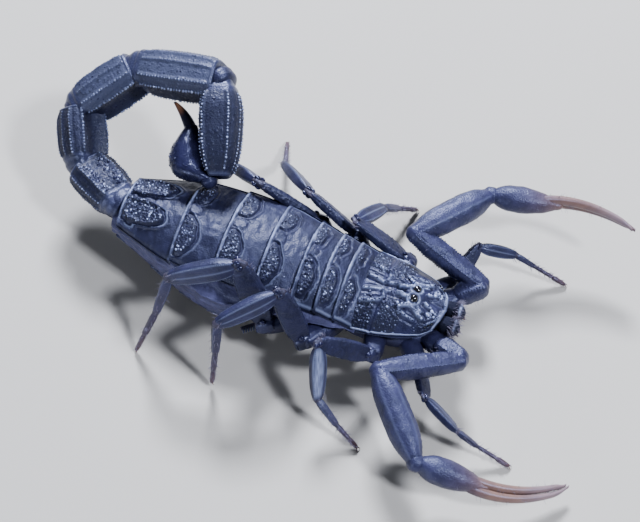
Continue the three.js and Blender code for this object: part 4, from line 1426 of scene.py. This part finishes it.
def trunk_surface(folds):
    """The soft trunk's skin, with folds along its sides as deep as `folds` says."""

    def surface(a, t):
        x = np.interp(t, SKIN_ENDS, [TRUNK_REAR, TRUNK_REAR, TRUNK_FRONT, TRUNK_FRONT])
        shut = shut_ends(t, *SKIN_ENDS[1:3])
        low = trunk(3, x)
        under_plates = np.clip(x, -21.6, 4.7)
        high = back(under_plates, 3) - 0.95
        reach = rounded_box(a, 2.5)
        y = trunk(1, x) + shut * trunk(2, x) * reach * np.cos(a)
        z = (high + low) / 2 + shut * ((high - low) / 2) * reach * np.sin(a)
        share = np.clip((y - back(x, 1)) / back(x, 2), -1.2, 1.2)
        z = np.minimum(z, back_height(under_plates, share) - 0.62)
        places = stacked(x, y, z)
        side = step(0.55, 0.9, np.abs(np.cos(a)))
        pleats = 0.07 * np.sin(7 * z + 2.5 * lumps(places, 2.5, 12))
        pleats = pleats + 0.13 * lumps(places, 0.9, 13) + 0.06 * lumps(places, 0.35, 14)
        places[:, 1] += folds * side * shut * pleats * np.sign(np.cos(a))
        return places

    return surface


skin = rolled("side_skin", trunk_surface(1.0), 150, 170, lambda a, t: {"rough_mark": 0.2})
finished(skin, SKIN, "membrane", "belly")


def belly_plate(number, rear, front):
    """A belly plate that wraps the underside, with a breathing slit at each side."""
    wrap = trunk_surface(0.0)

    def surface(a, v):
        t, under = over_and_under(a, 0.8)
        x = rear + (front - rear) * t
        sweep = math.pi * (1.13 + 0.74 * v)
        on_skin = wrap(sweep, np.interp(x, [TRUNK_REAR, TRUNK_FRONT], SKIN_ENDS[1:3]))
        centre = stacked(x, trunk(1, x), (trunk(3, x) + 8) / 2)
        outward = unit(on_skin - centre)
        outward[:, 0] = 0
        edge = np.sqrt(np.clip(1 - np.abs(2 * v - 1) ** 16, 0, 1))
        lift = np.where(under < 0, 0.18 + 0.05 * hill(t, 0.04, 0.03) + 0.12 * (1 - t), -0.1) * edge
        slit = hill(np.abs(2 * v - 1), 0.62, 0.05) * hill(t, 0.55, 0.05) * (under < 0)
        return on_skin + outward * (lift - 0.15 * slit)[:, None]

    plate = rolled(f"belly_plate_{number}", surface, 64, 80, lambda a, v: {"shine": 0.4})
    finished(plate, SHELL, "shell")


for number, (rear, front) in zip(range(7, 2, -1), BELLY_PLATES):
    belly_plate(number, rear, front)

# ---------------------------------------------------------------- leg bases, combs


def coxa(hip, inner, width, height, seed):
    """The fixed base of a limb, from the middle of the breast out to the hip."""
    side = math.copysign(1, hip[1])
    start = np.array([inner, side * 0.75, 3.3])
    way = np.array(hip) - start
    length = np.linalg.norm(way)
    axes = facing(way / length, np.array([0, 0, 1.0]))
    body, surface = limb_link(
        "coxa", start, axes, length * 1.02, width, height, [0.6, 0.95, 1.0, 0.95, 0.72], seed,
        power=2.7, around=44, wave=0.05,
    )
    return [body, hairs(surface, 8, (180, 360), (0.3, 0.9), 0.4, 0.3, axes, 0.02)]


bases = []
for side_name, side_sign in SIDES:
    bases += coxa(PALP_START[side_name], 11.2, 2.5, 2.5, 500)
    for index, pose in enumerate(LEG_POSE[side_name]):
        bases += coxa(pose[0], 9.0 - 2.5 * index, 2.15 + 0.1 * index, 2.3, 510 + index)


def breast(a, t):
    """The breastplate and genital plates between the leg bases."""
    stops = [-0.8, 2, 6, 10.5, 12.8]
    x = np.interp(t, [0, 0.03, 0.97, 1], [stops[0], stops[0], stops[-1], stops[-1]])
    section = shut_ends(t, 0.03, 0.97) * rounded_box(a, 3)
    half = flow(stops, [1.9, 3.0, 3.9, 3.4, 2.4], x)
    tall = flow(stops, [1.0, 1.25, 1.4, 1.4, 1.2], x)
    seam = 0.12 * hill(np.cos(a), 0, 0.05) * (np.sin(a) < 0)
    return stacked(x, 0.1 + section * half * np.cos(a), 3.65 + section * tall * np.sin(a) + seam)


bases.append(rolled("breast", breast, 80, 90))
finished(joined("leg_bases", bases), LEG_SHELL, "under_shell", "coxae")


def pecten(side_name, sign):
    """A comb: a jointed spine with a row of soft teeth along its rear edge."""
    axes = facing(direction(-sign * PECTEN["heading"], 0), np.array([0, 0, 1.0]))
    root = np.array([PECTEN["x"], sign * PECTEN["y"], PECTEN["z"]])
    length = PECTEN["length"]

    def spine(a, t):
        x = np.interp(t, [0, 0.03, 0.97, 1], [0, 0, length, length])
        joints = 1 - 0.12 * hill((t * 3.2) % 1, 0.5, 0.08)
        thick = shut_ends(t, 0.03, 0.97) * (1 - 0.35 * t) * joints
        y = sign * 0.3 + 0.34 * thick * np.cos(a)
        return placed(stacked(x, y, 0.3 * t + 0.26 * thick * np.sin(a)), axes, root)

    def comb_tooth(place):
        def surface(a, t):
            thick = 0.115 * np.sin(math.pi * np.clip(0.12 + 0.88 * t, 0, 1)) ** 0.5
            thick = thick * np.interp(t, [0, 0.04], [0, 1])
            x = place * length + 0.25 * t + thick * np.cos(a)
            y = sign * (0.3 - 0.95 * (1 - 0.35 * place) * t)
            return placed(stacked(x, y, 0.3 * place + 1.5 * thick * np.sin(a)), axes, root)

        # Painted highlight, stronger towards each tooth's tip.
        return rolled("tooth", surface, 10, 12, lambda a, t: {"pale": 0.3 * t})

    parts = [rolled("spine", spine, 32, 80)]
    for place in np.linspace(0.06, 0.96, PECTEN["teeth"]):
        parts.append(comb_tooth(place))
    finished(joined(f"pecten_{side_name}", parts), COMB, "comb", f"pecten_{side_name}")


for side_name, side_sign in SIDES:
    pecten(side_name, side_sign)

# ---------------------------------------------------------------- camera, light, floor

CAMERA_BACK = np.array([0.186, -0.512, 0.839])
CAMERA_RIGHT = np.array([0.94, 0.342, 0.0])
CAMERA_REACH = 150.0
CAMERA_AIM = np.array([0.0, 0.0, 9.0])
LENS = 84.375

back_way = unit(CAMERA_BACK)
right_way = unit(CAMERA_RIGHT)
up_way = np.cross(back_way, right_way)
deselect()
bpy.ops.object.camera_add()
camera = bpy.context.object
camera.name = "view"
camera.data.sensor_width = 36.0
camera.data.lens = LENS
camera.data.clip_start = 0.005
eye_place = (CAMERA_AIM + CAMERA_REACH * back_way - ORIGIN) * MM
turned = [[*row, 0] for row in (right_way, up_way, back_way)] + [[*eye_place, 1]]
camera.matrix_world = Matrix(turned).transposed()
bpy.context.scene.camera = camera

deselect()
bpy.ops.mesh.primitive_plane_add(size=3.0, location=(0, 0, 0))
floor = bpy.context.object
floor.name = "floor"
floor_finish, floor_tree, floor_shader = new_finish("floor_pale")
fill_in(floor_tree, floor_shader, Base_Color=shade(0.41, 0.393, 0.357), Roughness=0.8)
floor.data.materials.append(floor_finish)


LAMP_BLUE = (0.82, 0.865, 1.0)
# Square soft lamps: name, place in metres, size and power.
LAMPS = [
    ("key", (-0.11, 0.31, 0.33), 0.1, 7.8),
    ("fill", (0.3, -0.06, 0.4), 0.06, 3.8),
    ("side", (-0.14, -0.42, 0.1), 0.12, 0.9),
]
for name, place, size, power in LAMPS:
    deselect()
    bpy.ops.object.light_add(type="AREA", location=place)
    light = bpy.context.object
    light.name = name
    light.data.size = size
    light.data.energy = power
    light.data.color = LAMP_BLUE
    light.rotation_euler = Vector(place).to_track_quat("Z", "Y").to_euler()

world = bpy.data.worlds.new("studio")
world.use_nodes = True
sky = world.node_tree.nodes["Background"]
fill_in(world.node_tree, sky, Color=shade(0.72, 0.8, 1.0), Strength=0.12)
bpy.context.scene.world = world
